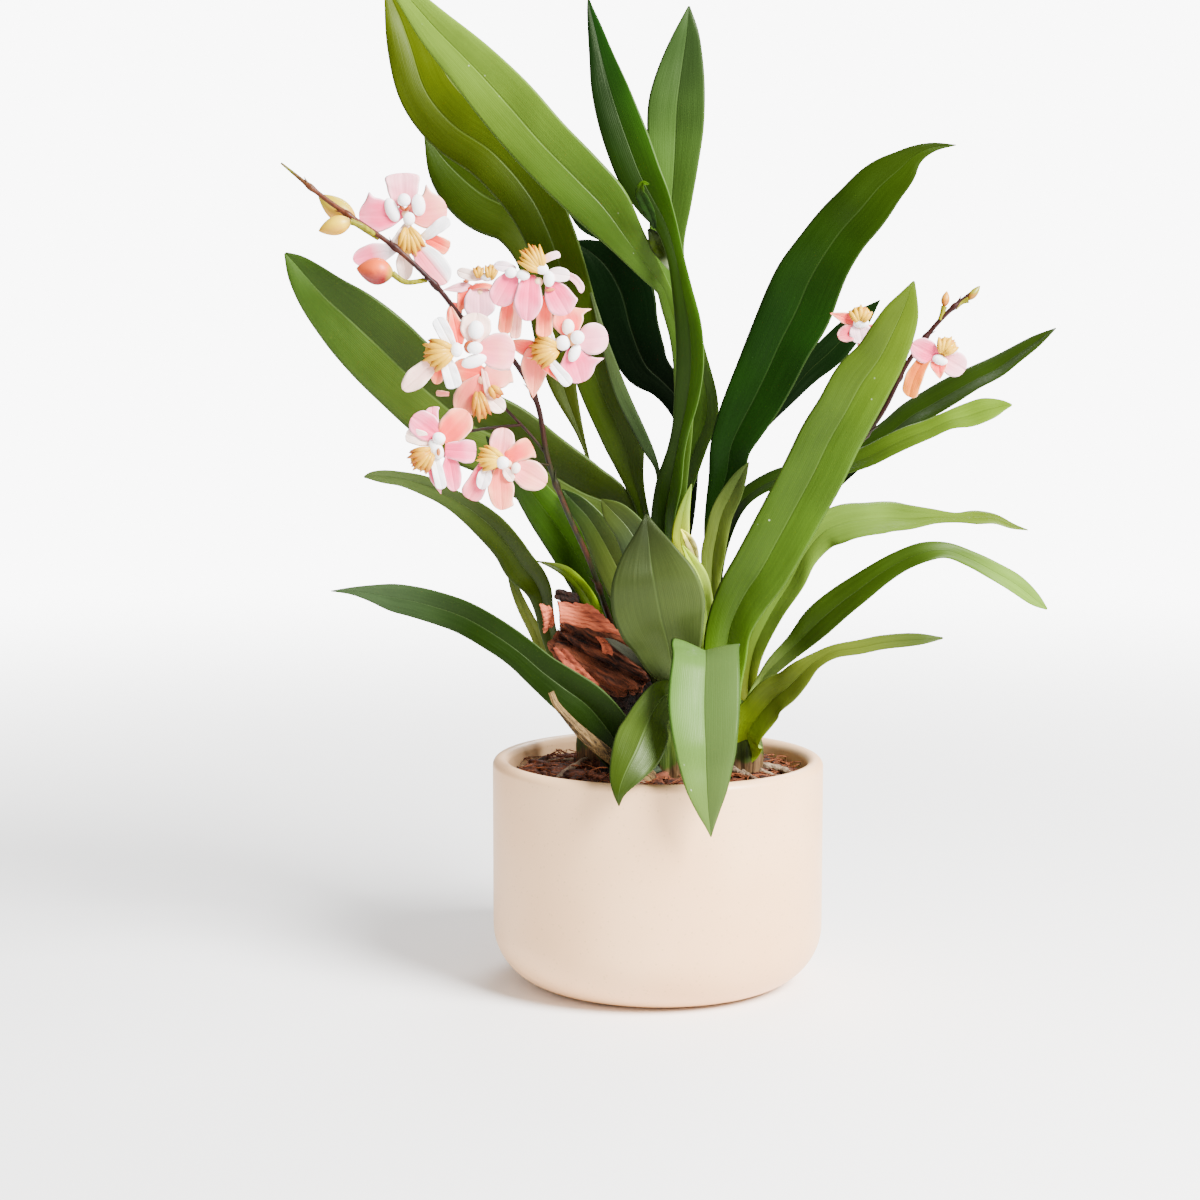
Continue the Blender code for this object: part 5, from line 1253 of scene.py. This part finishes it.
# eggs are (across, down, half length, half width, turn, height, brownness)
blooms = {
    "01": {"at": (406, 214, -34), "spray": "left", "stalk": [(440, 291, -41), (434, 287, -34), (422, 262, -27)],
           "petals": [petal("hood", (404, 206), (402, 173), 34, (0.5, 0.1), warm=0.3, white=0.25),
                      petal("round", (407, 215), (447, 209), 35, (1.3, 0.6), warm=0.7, white=0.15,
                            corner=-10, place=0.58),
                      petal("round", (403, 214), (359, 216), 33, (1.2, 0.2), warm=0.0, corner=8, place=0.74),
                      petal("round", (398, 248), (353, 260), 22, (-0.6, -1.2), warm=0.15, pale=1.0),
                      petal("oval", (403, 250), (406, 280), 17, (-1.4, -2.2), warm=0.9, white=0.75),
                      petal("bar", (427, 238), (449, 249), 16, (0.9, 0.8), warm=1.2),
                      petal("round", (414, 243), (447, 283), 29, (2.2, 0.8), warm=0.4, white=0.1, side=-1.0),
                      petal("bar", (409, 226), (397, 249), 17, (1.2, 0.8), warm=0.8, white=0.9),
                      petal("bar", (423, 238), (449, 219), 12.5, (2.0, 2.4), white=1.0)],
           "eggs": [(392, 210, 12.5, 6.6, -68, 1.9, 0), (418.5, 205, 11, 7, 95, 2.1, 0),
                    (404, 200, 6.5, 6.5, 0, 3.4, 0), (402.5, 208.3, 4, 2, -35, 3.0, 1),
                    (407.8, 208.3, 4, 2, 40, 3.0, 1), (409, 219, 6.8, 6, 80, 2.8, 0)],
           "crest": [((408, 229), (413, 258), 31, 6, 3.4, 0.0)]},
    "02": {"at": (480, 292, -28), "spray": "left", "stalk": [(472, 327, -37), (478, 322, -26)],
           "petals": [petal("point", (457, 303), (449, 332), 16, (-1.0, -1.5), warm=1.2),
                      petal("point", (480, 304), (472, 326), 24, (-0.8, -1.5), warm=1.0, white=0.4),
                      petal("point", (470, 284), (458, 314), 17, (0.2, -0.5), warm=1.2),
                      petal("point", (470, 286), (443, 290), 10, (0.8, 0.2), warm=0.3, white=0.35),
                      petal("round", (482, 279), (457, 271), 12, (1.4, 0.8), warm=0.7, white=0.8),
                      petal("round", (479, 283), (480, 318), 32, (1.4, 0.4), warm=0.1, white=0.35),
                      # the curled upper edge of the main petal, a narrow strip whose deep salmon is painted shade
                      petal("bar", (467, 290), (495, 288), 6, (2.3, 1.6), bow=-3.5, warm=1.3)],
           "eggs": [(487, 277, 6.5, 4.5, 0, 2.4, 0), (466, 281.5, 3.2, 1.6, -10, 2.4, 1)],
           "crest": [((479, 277), (478, 264), 11, 3, 2.6, 0.2), ((490, 279), (493, 262), 15, 4, 3.0, 0.1)]},
    "03": {"at": (538, 282, -56), "spray": "left", "stalk": [(511, 340, -33), (513, 312, -38), (522, 290, -52)],
           "petals": [petal("bar", (509, 296), (504, 334), 15, (-2.0, -3.0), warm=1.0),
                      petal("bar", (518, 300), (515, 339), 12, (-2.6, -3.6), warm=0.9, white=0.35),
                      petal("bar", (545, 296), (544, 337), 17, (-2.0, -3.0), warm=1.0),
                      petal("round", (515, 271), (496, 305), 27, (1.0, 0.2), warm=0.1),
                      petal("round", (549, 281), (568, 314), 29, (1.0, 0.0), warm=-0.1, corner=-3, place=0.8),
                      petal("oval", (530, 275), (527, 321), 28, (1.8, 0.6), warm=0.0),
                      petal("round", (516, 268), (494, 265), 11, (1.2, 0.6), warm=0.0, white=0.7),
                      petal("bar", (540, 263), (560, 254), 8, (1.6, 1.2), bow=-1.5, warm=0.5, white=0.55),
                      petal("round", (546, 273), (570, 276), 15, (1.4, 1.0), warm=0.5, white=0.75),
                      petal("bar", (562, 273), (583, 292), 8, (1.2, 0.2), bow=-4, warm=0.1, white=0.25)],
           "eggs": [(511, 272.5, 6.2, 5.4, 0, 2.6, 0), (523, 275, 7, 5.2, -10, 2.8, 0), (541, 268, 8, 6, -30, 2.8, 0),
                    (549, 279, 8, 5.6, 90, 2.6, 0), (550, 290, 5, 1.8, 8, 2.0, 0.8)],
           "crest": [((541, 270), (523, 246), 30, 7, 3.6, 0.0)]},
    "04": {"at": (474, 347, -60), "spray": "left", "stalk": [(494, 341, -35), (484, 344, -44)],
           "petals": [petal("point", (459, 345), (451, 306), 17, (-0.6, -1.2), warm=1.2),
                      petal("round", (474, 345), (477, 313), 32, (-0.4, -1.0), warm=0.9, white=0.65),
                      petal("round", (477, 349), (515, 353), 38, (0.9, 0.0), warm=0.5, white=0.15,
                            corner=5, place=0.9),
                      petal("oval", (436, 360), (403, 390), 21, (1.2, 0.2), warm=1.0, white=0.6),
                      petal("round", (440, 364), (436, 384), 13, (0.4, 0.2), warm=1.1),
                      petal("bar", (453, 348), (437, 318), 15, (1.8, 1.2), white=1.0),
                      petal("bar", (446, 359), (455, 388), 17, (1.8, 1.2), white=1.0)],
           "eggs": [(456.5, 350, 6.2, 7.4, 0, 2.8, 0), (470, 347, 6.4, 6.6, 0, 1.9, 1),
                    (475, 348, 7.8, 6.2, 0, 3.0, 0), (476, 330, 8, 9.5, 0, 1.2, 0),
                    (474, 361, 13, 6.6, 17, 1.8, 0)],
           "crest": [((451, 351), (421, 357), 37, 6, 3.4, 0.0)]},
    "05": {"at": (576, 342, -46), "spray": "left", "stalk": [(524, 376, -31), (552, 356, -31)],
           "petals": [petal("point", (536, 348), (533, 398), 29, (-1.5, -2.5), warm=1.0, white=0.1),
                      petal("point", (541, 353), (506, 341), 19, (-1.2, -2.0), warm=0.9),
                      petal("round", (571, 338), (565, 307), 31, (0.8, 0.2), warm=0.8, corner=12, place=0.78),
                      petal("round", (571, 348), (582, 382), 35, (0.9, 0.2), warm=0.05, corner=-11, place=0.56),
                      petal("round", (575, 341), (608, 337), 32, (1.4, 0.5), warm=0.3, white=0.25),
                      petal("bar", (540, 363), (564, 380), 9, (0.8, 0.4), warm=1.2),
                      petal("bar", (554, 344), (548, 330), 7, (1.4, 0.8), white=1.0),
                      petal("bar", (550, 361), (570, 385), 12, (2.0, 1.6), white=1.0)],
           "eggs": [(572.5, 339, 6.4, 7.2, 0, 2.0, 0.7), (577.5, 337.5, 7, 7, 0, 3.4, 0.06),
                    (563, 343, 7.5, 7.5, 0, 2.6, 0), (568, 327, 6.4, 8, 0, 1.8, 0.12),
                    (574.5, 353, 9.5, 5.6, 65, 2.2, 0)],
           "crest": [((556, 349), (528, 353), 38, 7, 3.6, 0.1)]},
    "06": {"at": (482, 380, -46), "spray": "left", "stalk": [(547, 455, -24), (528, 432, -26), (503, 406, -30)],
           "petals": [petal("bar", (449, 394), (436, 393), 6, (0.4, 0.2), warm=1.0, white=0.2),
                      petal("round", (488, 374), (452, 368), 25, (-0.2, -0.4), warm=1.3),
                      petal("round", (482, 376), (460, 414), 31, (0.6, 0.0), warm=1.0, white=0.1),
                      petal("round", (482, 382), (510, 368), 30, (0.4, 0.0), warm=0.9, white=0.2,
                            corner=4, place=0.9),
                      petal("bar", (483, 368), (489, 396), 7, (1.6, 1.6), warm=0.9, white=0.5),
                      petal("round", (484, 393), (504, 411), 17, (1.8, 1.2), warm=0.9, white=0.75)],
           "eggs": [],
           "crest": [((478, 393), (483, 423), 20, 4, 3.0, 0.45), ((491, 387), (502, 401), 11, 2, 2.6, 0.45)]},
    "07": {"at": (440, 441, -58), "spray": "left", "stalk": [(521, 425, -27), (490, 428, -31), (462, 433, -40)],
           "petals": [petal("hood", (437, 433), (432, 407), 13, (0.4, 0.0), bow=-2, warm=0.1, corner=2, place=0.93),
                      petal("oval", (449, 455), (455, 491), 19, (0.2, -0.6), warm=0.1),
                      petal("round", (441, 438), (412, 417), 29, (1.0, 0.4), warm=0.1),
                      petal("oval", (442, 440), (468, 412), 31, (0.9, 0.3), warm=0.9),
                      petal("hood", (445, 450), (476, 452), 23, (1.0, 0.4), warm=0.05),
                      petal("point", (431, 464), (441, 494), 12, (0.6, 0.0), warm=0.0),
                      petal("bar", (434, 442), (406, 434), 16, (1.4, 0.6), warm=0.8, white=0.75),
                      petal("bar", (434, 455), (442, 489), 12, (1.6, 0.8), white=1.0)],
           "eggs": [(439, 438, 6.6, 5.6, -20, 3.0, 0), (436, 449, 11, 6.5, -60, 2.0, 0.06),
                    (438.5, 452, 2.0, 4, 0, 3.6, 0.8)],
           "crest": [((431, 452), (410, 468), 31, 6, 3.4, 0.35)]},
    "08": {"at": (508, 464, -47), "spray": "left", "stalk": [(549, 465, -24), (532, 464, -30)],
           "petals": [petal("oval", (500, 458), (504, 428), 26, (0.2, -0.2), warm=0.5, white=0.2),
                      petal("hood", (489, 461), (469, 499), 22, (0.2, -0.6), warm=0.4),
                      petal("hood", (505, 459), (532, 445), 20, (0.8, 0.4), warm=0.9, corner=4, place=0.92),
                      petal("round", (508, 463), (546, 484), 29, (0.9, 0.3), warm=0.8, white=0.2),
                      petal("oval", (500, 468), (502, 510), 26, (0.8, 0.2), warm=1.0, white=0.1,
                            corner=-4, place=0.9),
                      petal("round", (488, 465), (481, 489), 15, (1.6, 1.2), white=0.9),
                      petal("round", (503, 467), (513, 481), 10, (1.6, 1.0), warm=0.9, white=0.75)],
           "eggs": [(502.7, 462.8, 6.6, 6.4, 0, 3.6, 0.05), (516, 468, 5.6, 4.6, 80, 2.4, 0.12)],
           "crest": [((501, 459), (475, 457), 29, 6, 3.0, -0.5)]},
    "09": {"at": (860, 326, -16), "spray": "right", "stalk": [(872, 424, 4), (880, 385, 4), (872, 345, 0)],
           "petals": [petal("round", (864, 328), (884, 338), 20, (0.4, 0.0), warm=0.5),
                      petal("round", (862, 330), (870, 352), 19, (0.4, 0.0), warm=0.6),
                      petal("point", (857, 322), (830, 313), 12, (0.6, 0.0), warm=0.8),
                      petal("oval", (859, 329), (838, 337), 17, (0.6, 0.2), warm=0.5),
                      petal("round", (858, 320), (862, 343), 22, (1.2, 0.6), warm=0.2, white=0.55)],
           "eggs": [(861, 323, 8, 5, 0, 2.0, 0)],
           "crest": [((860, 321), (861, 304), 25, 5, 2.8, -0.1)]},
    "10": {"at": (940, 358, -16), "spray": "right", "stalk": [(899, 380, 3), (915, 355, 1), (928, 357, -4)],
           "petals": [petal("bar", (927, 356), (909, 397), 18, (0.6, -0.6), bow=3, warm=2.0),
                      petal("round", (940, 359), (912, 344), 24, (0.8, 0.2), warm=0.1),
                      petal("round", (942, 357), (965, 370), 26, (0.6, 0.0), warm=0.3, white=0.3),
                      petal("point", (938, 357), (940, 379), 17, (1.2, 0.6), warm=0.9),
                      petal("round", (944, 356), (950, 340), 22, (0.8, 0.6), warm=0.3, white=0.6)],
           "eggs": [(940, 360, 8, 5, -20, 1.8, 0)],
           "crest": [((943, 353), (952, 336), 24, 5, 2.8, -0.1)]},
}
petalMake = {"rows": 34, "columns": 19, "thickness": 0.4, "cup": 0.5, "ripple": 0.22}
fingerMake = {"rows": 22, "around": 10}


def bloomFrame(bloom):
    middle = seenPoints([bloom["at"]])[0]
    return middle, unit(eye - middle), pixelSize(bloom["at"])


def petalMesh(bloom, shape, seed):
    # half width = width / 2 * (base + (1 - base) * sin(share)^power) * (1 - rest^fall)^end; the blade
    # rises along a parabola, cups towards the viewer, ripples at its margin and may carry a finger
    facing, step = bloomFrame(bloom)[1:]
    widest, base, power, square, end = shape["shape"]
    share = 1 - (1 - np.linspace(0, 1, petalMake["rows"])) ** 1.35
    depth = bloom["at"][2]
    foot, tip = seenPoints([(*shape["foot"], depth), (*shape["tip"], depth)])
    length = np.linalg.norm(tip - foot)
    along = (tip - foot) / length
    across = unit(np.cross(along, facing))
    low, high = shape["rise"]
    height = (4 * low * share * (1 - share) + high * share * (2 * share - 1)) * mm
    spine = (foot + np.outer(share, tip - foot) + np.outer(height, facing)
             + np.outer(shape["bow"] * step * np.sin(np.pi * share), across))
    swell = base + (1 - base) * np.sin(np.clip(share / widest, 0, 1) * np.pi / 2) ** power
    fall = (1 - np.clip((share - widest) / (1 - widest), 0, 1) ** square) ** end
    half = shape["wide"] / 2 * step * swell * (0.03 + 0.97 * fall)
    half = half * (1 + 0.025 * np.sin(9 * share + seed) + 0.015 * np.sin(17 * share + 2 * seed))
    hand = np.sign(shape["corner"])

    def lift(s, v):
        finger = abs(shape["corner"]) * step * np.exp(-np.abs((s - shape["place"]) / 0.075) ** 1.6)
        reach = v + hand * finger * np.clip(v * hand * 2 - 1, 0, 1) ** 2 / np.maximum(half[:, None], step)
        cup = petalMake["cup"] * v * v * np.sin(np.pi * np.clip(s, 0, 0.9)) - 0.2 * np.exp(-(v / 0.12) ** 2)
        ripple = petalMake["ripple"] * v * v * np.sin(14 * s + 3 * v + seed)
        return reach, (cup + ripple) * mm * min(1, shape["wide"] / 16)

    rows, columns = petalMake["rows"], petalMake["columns"]
    mesh = bladeMesh("petal", spine, share, np.tile(across, (rows, 1)), np.tile(facing, (rows, 1)), half, lift,
                     petalMake["thickness"] * mm, columns)
    lane = np.linspace(-1, 1, columns)
    lane = np.concatenate([lane, lane[-2:0:-1]])[None, :]
    white = shape["white"] + shape["pale"] * np.clip(1.3 - 2.2 * share, 0, 1)[:, None]
    white = white + np.clip(lane * shape["side"] * 1.6 - 0.1, 0, 1) + 0 * lane
    mesh.attributes.new("white", "FLOAT", "POINT").data.foreach_set("value", np.clip(white, 0, 1).ravel())
    mesh.attributes.new("warm", "FLOAT", "POINT").data.foreach_set("value", np.full(white.size, shape["warm"]))
    return mesh


def eggsMesh(bloom):
    # the white ball, wings and callus in the middle, and the brown marks between them
    middle, facing, step = bloomFrame(bloom)
    meshes = [eggMesh("neck", middle - facing * 0.4 * mm, np.array([1.6, 1.6, 2.0]) * mm,
                      np.column_stack([rightward, np.cross(facing, rightward), facing]), {"spot": 0.2})]
    for across, down, long, wide, turn, height, spot in bloom["eggs"]:
        angle = math.radians(turn)
        right = unit(np.cross((0, 0, 1), facing))
        axis = right * math.cos(angle) + np.cross(facing, right) * math.sin(angle)
        place = seenPoints([(across, down, bloom["at"][2])])[0] + facing * (height - 0.6) * mm
        half = np.array([long * step, wide * step, 0.5 * (min(long, wide) * step) + 0.5 * mm])
        axes = np.column_stack([axis, np.cross(facing, axis), facing])
        meshes.append(eggMesh("egg", place, half, axes, {"spot": spot}))
    return joined("eggs", meshes)


def crestMesh(bloom):
    # a fan of blunt fingers on a low dome, with a second, deeper row showing between them; "ripe"
    # runs from lemon at 0 to orange at 1
    facing, step = bloomFrame(bloom)[1:]
    rows, around = fingerMake["rows"], fingerMake["around"]
    meshes = []
    for foot, tip, wide, fingers, height, ripe in bloom["crest"]:
        start, end = seenPoints([(*foot, bloom["at"][2]), (*tip, bloom["at"][2])])
        length = np.linalg.norm(end - start)
        along = (end - start) / length
        across = unit(np.cross(along, facing))
        origin = start - along * 0.22 * length
        spread = math.asin(min(0.95, wide * step * 0.5 / (1.12 * length)))
        axes = np.column_stack([along, across, facing])
        half = np.array([0.44 * length, 0.40 * wide * step, height * 0.42 * mm])
        meshes.append(eggMesh("dome", start + along * 0.42 * length + facing * height * 0.45 * mm, half, axes,
                              {"ripe": ripe}))
        for row in range(2):
            count = fingers - row
            for index in range(count):
                lean = spread * (0 if count == 1 else 2 * index / (count - 1) - 1) * (1 - 0.1 * row)
                way = along * math.cos(lean) + across * math.sin(lean)
                reach = length * 1.22 * (1 - 0.13 * (lean / spread) ** 2 - 0.07 * (index % 2) - 0.05 * row)
                crown = height - row * 0.7
                path = [origin + way * reach * part + facing * crown * rise * mm
                        for part, rise in ((0.2, 0.45), (0.4, 0.95), (0.62, 1.0), (0.84, 0.8), (1.0, 0.5))]
                thick = 0.62 * wide * step / fingers

                def radius(s):
                    swell = 0.55 + 0.45 * np.sin(np.pi * np.clip(s * 1.15, 0, 1))
                    return thick * swell * (1 - np.clip(s * 1.02, 0, 1) ** 7) ** 0.5

                mesh = tubeMesh("finger", path, radius, rows, around, facing)
                share = np.repeat(np.linspace(0, 1, rows), around)
                value = ripe + 0.45 * row + 0.65 * share**1.6 + 0.1 * math.sin(5 * index)
                value = np.concatenate([value, [ripe, value[-1]]])
                mesh.attributes.new("ripe", "FLOAT", "POINT").data.foreach_set("value", value)
                mesh.uv_layers.remove(mesh.uv_layers["uv"])
                meshes.append(mesh)
    return joined("crest", meshes)


def makeTissueGroup():
    # petal colour: pink at Warm 0, salmon at 1 and ochre at 2, paler along the margin and towards the
    # tip, with faint veins that fan out from the foot; White draws it to white
    tree, given, taken = newGroup("petalTissue", {"Across": 0.5, "Along": 0.5, "Warm": 0.5, "White": 0.0},
                                  {"Colour": tuple, "Height": float})
    edge = sums(tree, "ABSOLUTE", sums(tree, "MULTIPLY_ADD", given["Across"], 2.0, -1.0))
    cloud = noise(tree, addNode(tree, "TexCoord", out=3), 220, 3)
    veins = sums(tree, "SINE", sums(tree, "MULTIPLY_ADD", given["Across"], 60.0, sums(tree, "MULTIPLY", cloud, 5.0)))
    warm = sums(tree, "ADD", given["Warm"], sums(tree, "MULTIPLY_ADD", cloud, 0.6, -0.3))
    deep = mixed(tree, between(tree, warm, 0.0, 1.1), colour(238, 74, 118), colour(240, 72, 54))
    light = mixed(tree, between(tree, warm, 0.0, 1.1), colour(249, 138, 164), colour(249, 140, 100))
    deep = mixed(tree, between(tree, warm, 1.3, 1.9), deep, colour(190, 84, 8))
    light = mixed(tree, between(tree, warm, 1.3, 1.9), light, colour(216, 122, 24))
    pale = sums(tree, "ADD", between(tree, edge, 0.5, 1.0, 0.0, 0.6),
                between(tree, given["Along"], 0.25, 1.0, 0.0, 0.65))
    pale = sums(tree, "ADD", pale, sums(tree, "MULTIPLY_ADD", cloud, 0.8, -0.4))
    paint = mixed(tree, between(tree, pale, 0.0, 1.0), deep, light)
    paint = mixed(tree, between(tree, veins, 0.5, 1.0, 0.0, 0.07), paint, deep)
    rim = mixed(tree, between(tree, warm, 0.0, 1.0), colour(255, 212, 222), colour(255, 214, 190))
    paint = mixed(tree, between(tree, edge, 0.88, 0.98, 0.0, 0.6), paint, rim)
    white = mixed(tree, between(tree, warm, 0.2, 0.9), colour(252, 250, 253), colour(253, 240, 224))
    paint = mixed(tree, given["White"], paint, white)
    tree.links.new(paint, taken["Colour"])
    tree.links.new(sums(tree, "MULTIPLY_ADD", veins, 0.12, cloud), taken["Height"])


def petalMaterial():
    material, tree, shader = newMaterial("petalPink", Roughness=0.55, Specular_IOR_Level=0.2, Subsurface_Weight=0.1,
                                         Subsurface_Scale=0.002, Subsurface_Radius=(1.0, 0.5, 0.4), Sheen_Weight=0.05)
    split = tree.nodes.new("ShaderNodeSeparateXYZ")
    tree.links.new(addNode(tree, "UVMap", uv_map="uv"), split.inputs[0])
    made = useGroup(tree, "petalTissue", {
        "Across": split.outputs[0], "Along": split.outputs[1],
        "Warm": addNode(tree, "Attribute", out=2, attribute_name="warm"),
        "White": addNode(tree, "Attribute", out=2, attribute_name="white")})
    feed(tree, shader, made["Colour"], None, made["Height"], 0.0001)
    return material


def crestMaterial():
    # lemon yellow on the crown, amber in the grooves and towards the finger tips
    material, tree, shader = newMaterial("crestYellow", Roughness=0.45, Specular_IOR_Level=0.25, Coat_Weight=0.05)
    ripe = addNode(tree, "Attribute", out=2, attribute_name="ripe")
    cloud = noise(tree, addNode(tree, "TexCoord", out=3), 500, 3)
    share = sums(tree, "ADD", ripe, sums(tree, "MULTIPLY_ADD", cloud, 0.6, -0.3))
    paint = mixed(tree, between(tree, share, -0.7, 0.15), colour(222, 180, 0), colour(206, 156, 0))
    paint = mixed(tree, between(tree, share, 0.2, 1.1), paint, colour(170, 84, 0))
    feed(tree, shader, paint, None, cloud, 0.0002)
    return material


def columnMaterial():
    material, tree, shader = newMaterial("columnWhite", Roughness=0.4, Specular_IOR_Level=0.3, Subsurface_Weight=0.1,
                                         Subsurface_Scale=0.002)
    spot = addNode(tree, "Attribute", out=2, attribute_name="spot")
    cloud = noise(tree, addNode(tree, "TexCoord", out=3), 700, 3)
    share = sums(tree, "ADD", spot, sums(tree, "MULTIPLY_ADD", cloud, 0.1, -0.05))
    paint = mixed(tree, between(tree, share, 0.02, 0.3), colour(253, 251, 252), colour(246, 184, 110))
    paint = mixed(tree, between(tree, share, 0.3, 1.0), paint, colour(150, 64, 16))
    feed(tree, shader, paint, None, cloud, 0.0001)
    return material


def addSprays():
    stemSkin = stemMaterial()
    for name, spray in sprays.items():
        addPiece("flower_stem_" + name, sprayMesh(name, spray), stemSkin, [spray["node"]])
    for name, bud in buds.items():
        addPiece("flower_bud_" + name, budMesh(name, bud), budMaterial("bud_" + name, bud),
                 [bud["node"]])


def addBlooms():
    petalSkin, crestSkin, columnSkin = petalMaterial(), crestMaterial(), columnMaterial()
    for number, (key, bloom) in enumerate(blooms.items()):
        node = "bloom_" + key
        petals = [petalMesh(bloom, shape, 1.7 * number + index) for index, shape in enumerate(bloom["petals"])]
        addPiece(node + "_petals", joined("petals", petals), petalSkin, [node])
        addPiece(node + "_column", eggsMesh(bloom), columnSkin, [node])
        addPiece(node + "_crest", crestMesh(bloom), crestSkin, ["crest_" + key])


makeTissueGroup()
addSprays()
addBlooms()
print("flowers ready")


# ---- floor and light

studio = {
    "floor": (250, 249, 248), "reach": 6.0, "fade": (0.25, 1.5), "aim": (0, 0, 0.15),  # metres
    "world": (1.0, 1.0, 1.0), "worldStrength": 0.66, "seenStrength": 9.0,
    "lights": {
        "key": {"at": (0.85, -0.75, 1.0), "size": 0.7, "power": 126},
        "fill": {"at": (-1.0, -0.8, 0.6), "size": 1.0, "power": 2},
        "back": {"at": (0.3, 1.0, 1.0), "size": 0.8, "power": 18},
    },
}


def addStudio():
    mesh = bpy.data.meshes.new("floor")
    reach = studio["reach"]
    mesh.from_pydata([(-reach, -reach, 0), (reach, -reach, 0), (reach, reach, 0), (-reach, reach, 0)], [],
                     [(0, 1, 2, 3)])
    floor = bpy.data.objects.new("floor", mesh)
    # pale and matt, fading into the backdrop with the distance from the pot: 1 - smoothstep(distance)
    material, tree, shader = newMaterial("floor", Base_Color=colour(*studio["floor"]), Roughness=0.9)
    place = addNode(tree, "TexCoord", out=3)
    far = addNode(tree, "VectorMath", {0: place}, out=1, operation="LENGTH")
    tree.links.new(between(tree, far, *studio["fade"], 1.0, 0.0), shader.inputs["Alpha"])
    mesh.materials.append(material)
    bpy.context.scene.collection.objects.link(floor)
    world = bpy.data.worlds.new("studio")
    world.use_nodes = True
    background = world.node_tree.nodes["Background"]
    background.inputs["Color"].default_value = (*studio["world"], 1)
    path = addNode(world.node_tree, "LightPath")  # the camera sees a brighter backdrop than the one that lights
    strength = between(world.node_tree, path, 0.0, 1.0, studio["worldStrength"], studio["seenStrength"])
    world.node_tree.links.new(strength, background.inputs["Strength"])
    bpy.context.scene.world = world
    for name, values in studio["lights"].items():
        lamp = bpy.data.lights.new(name, "AREA")
        lamp.shape = "DISK"
        lamp.size = values["size"]
        lamp.energy = values["power"]
        light = bpy.data.objects.new(name, lamp)
        light.location = values["at"]
        aim = np.array(studio["aim"]) - np.array(values["at"])
        lean, spin = math.atan2(math.hypot(aim[0], aim[1]), -aim[2]), math.atan2(aim[0], -aim[1]) + math.pi
        light.rotation_euler = (lean, 0, spin)
        bpy.context.scene.collection.objects.link(light)


addStudio()
print("floor and light ready")
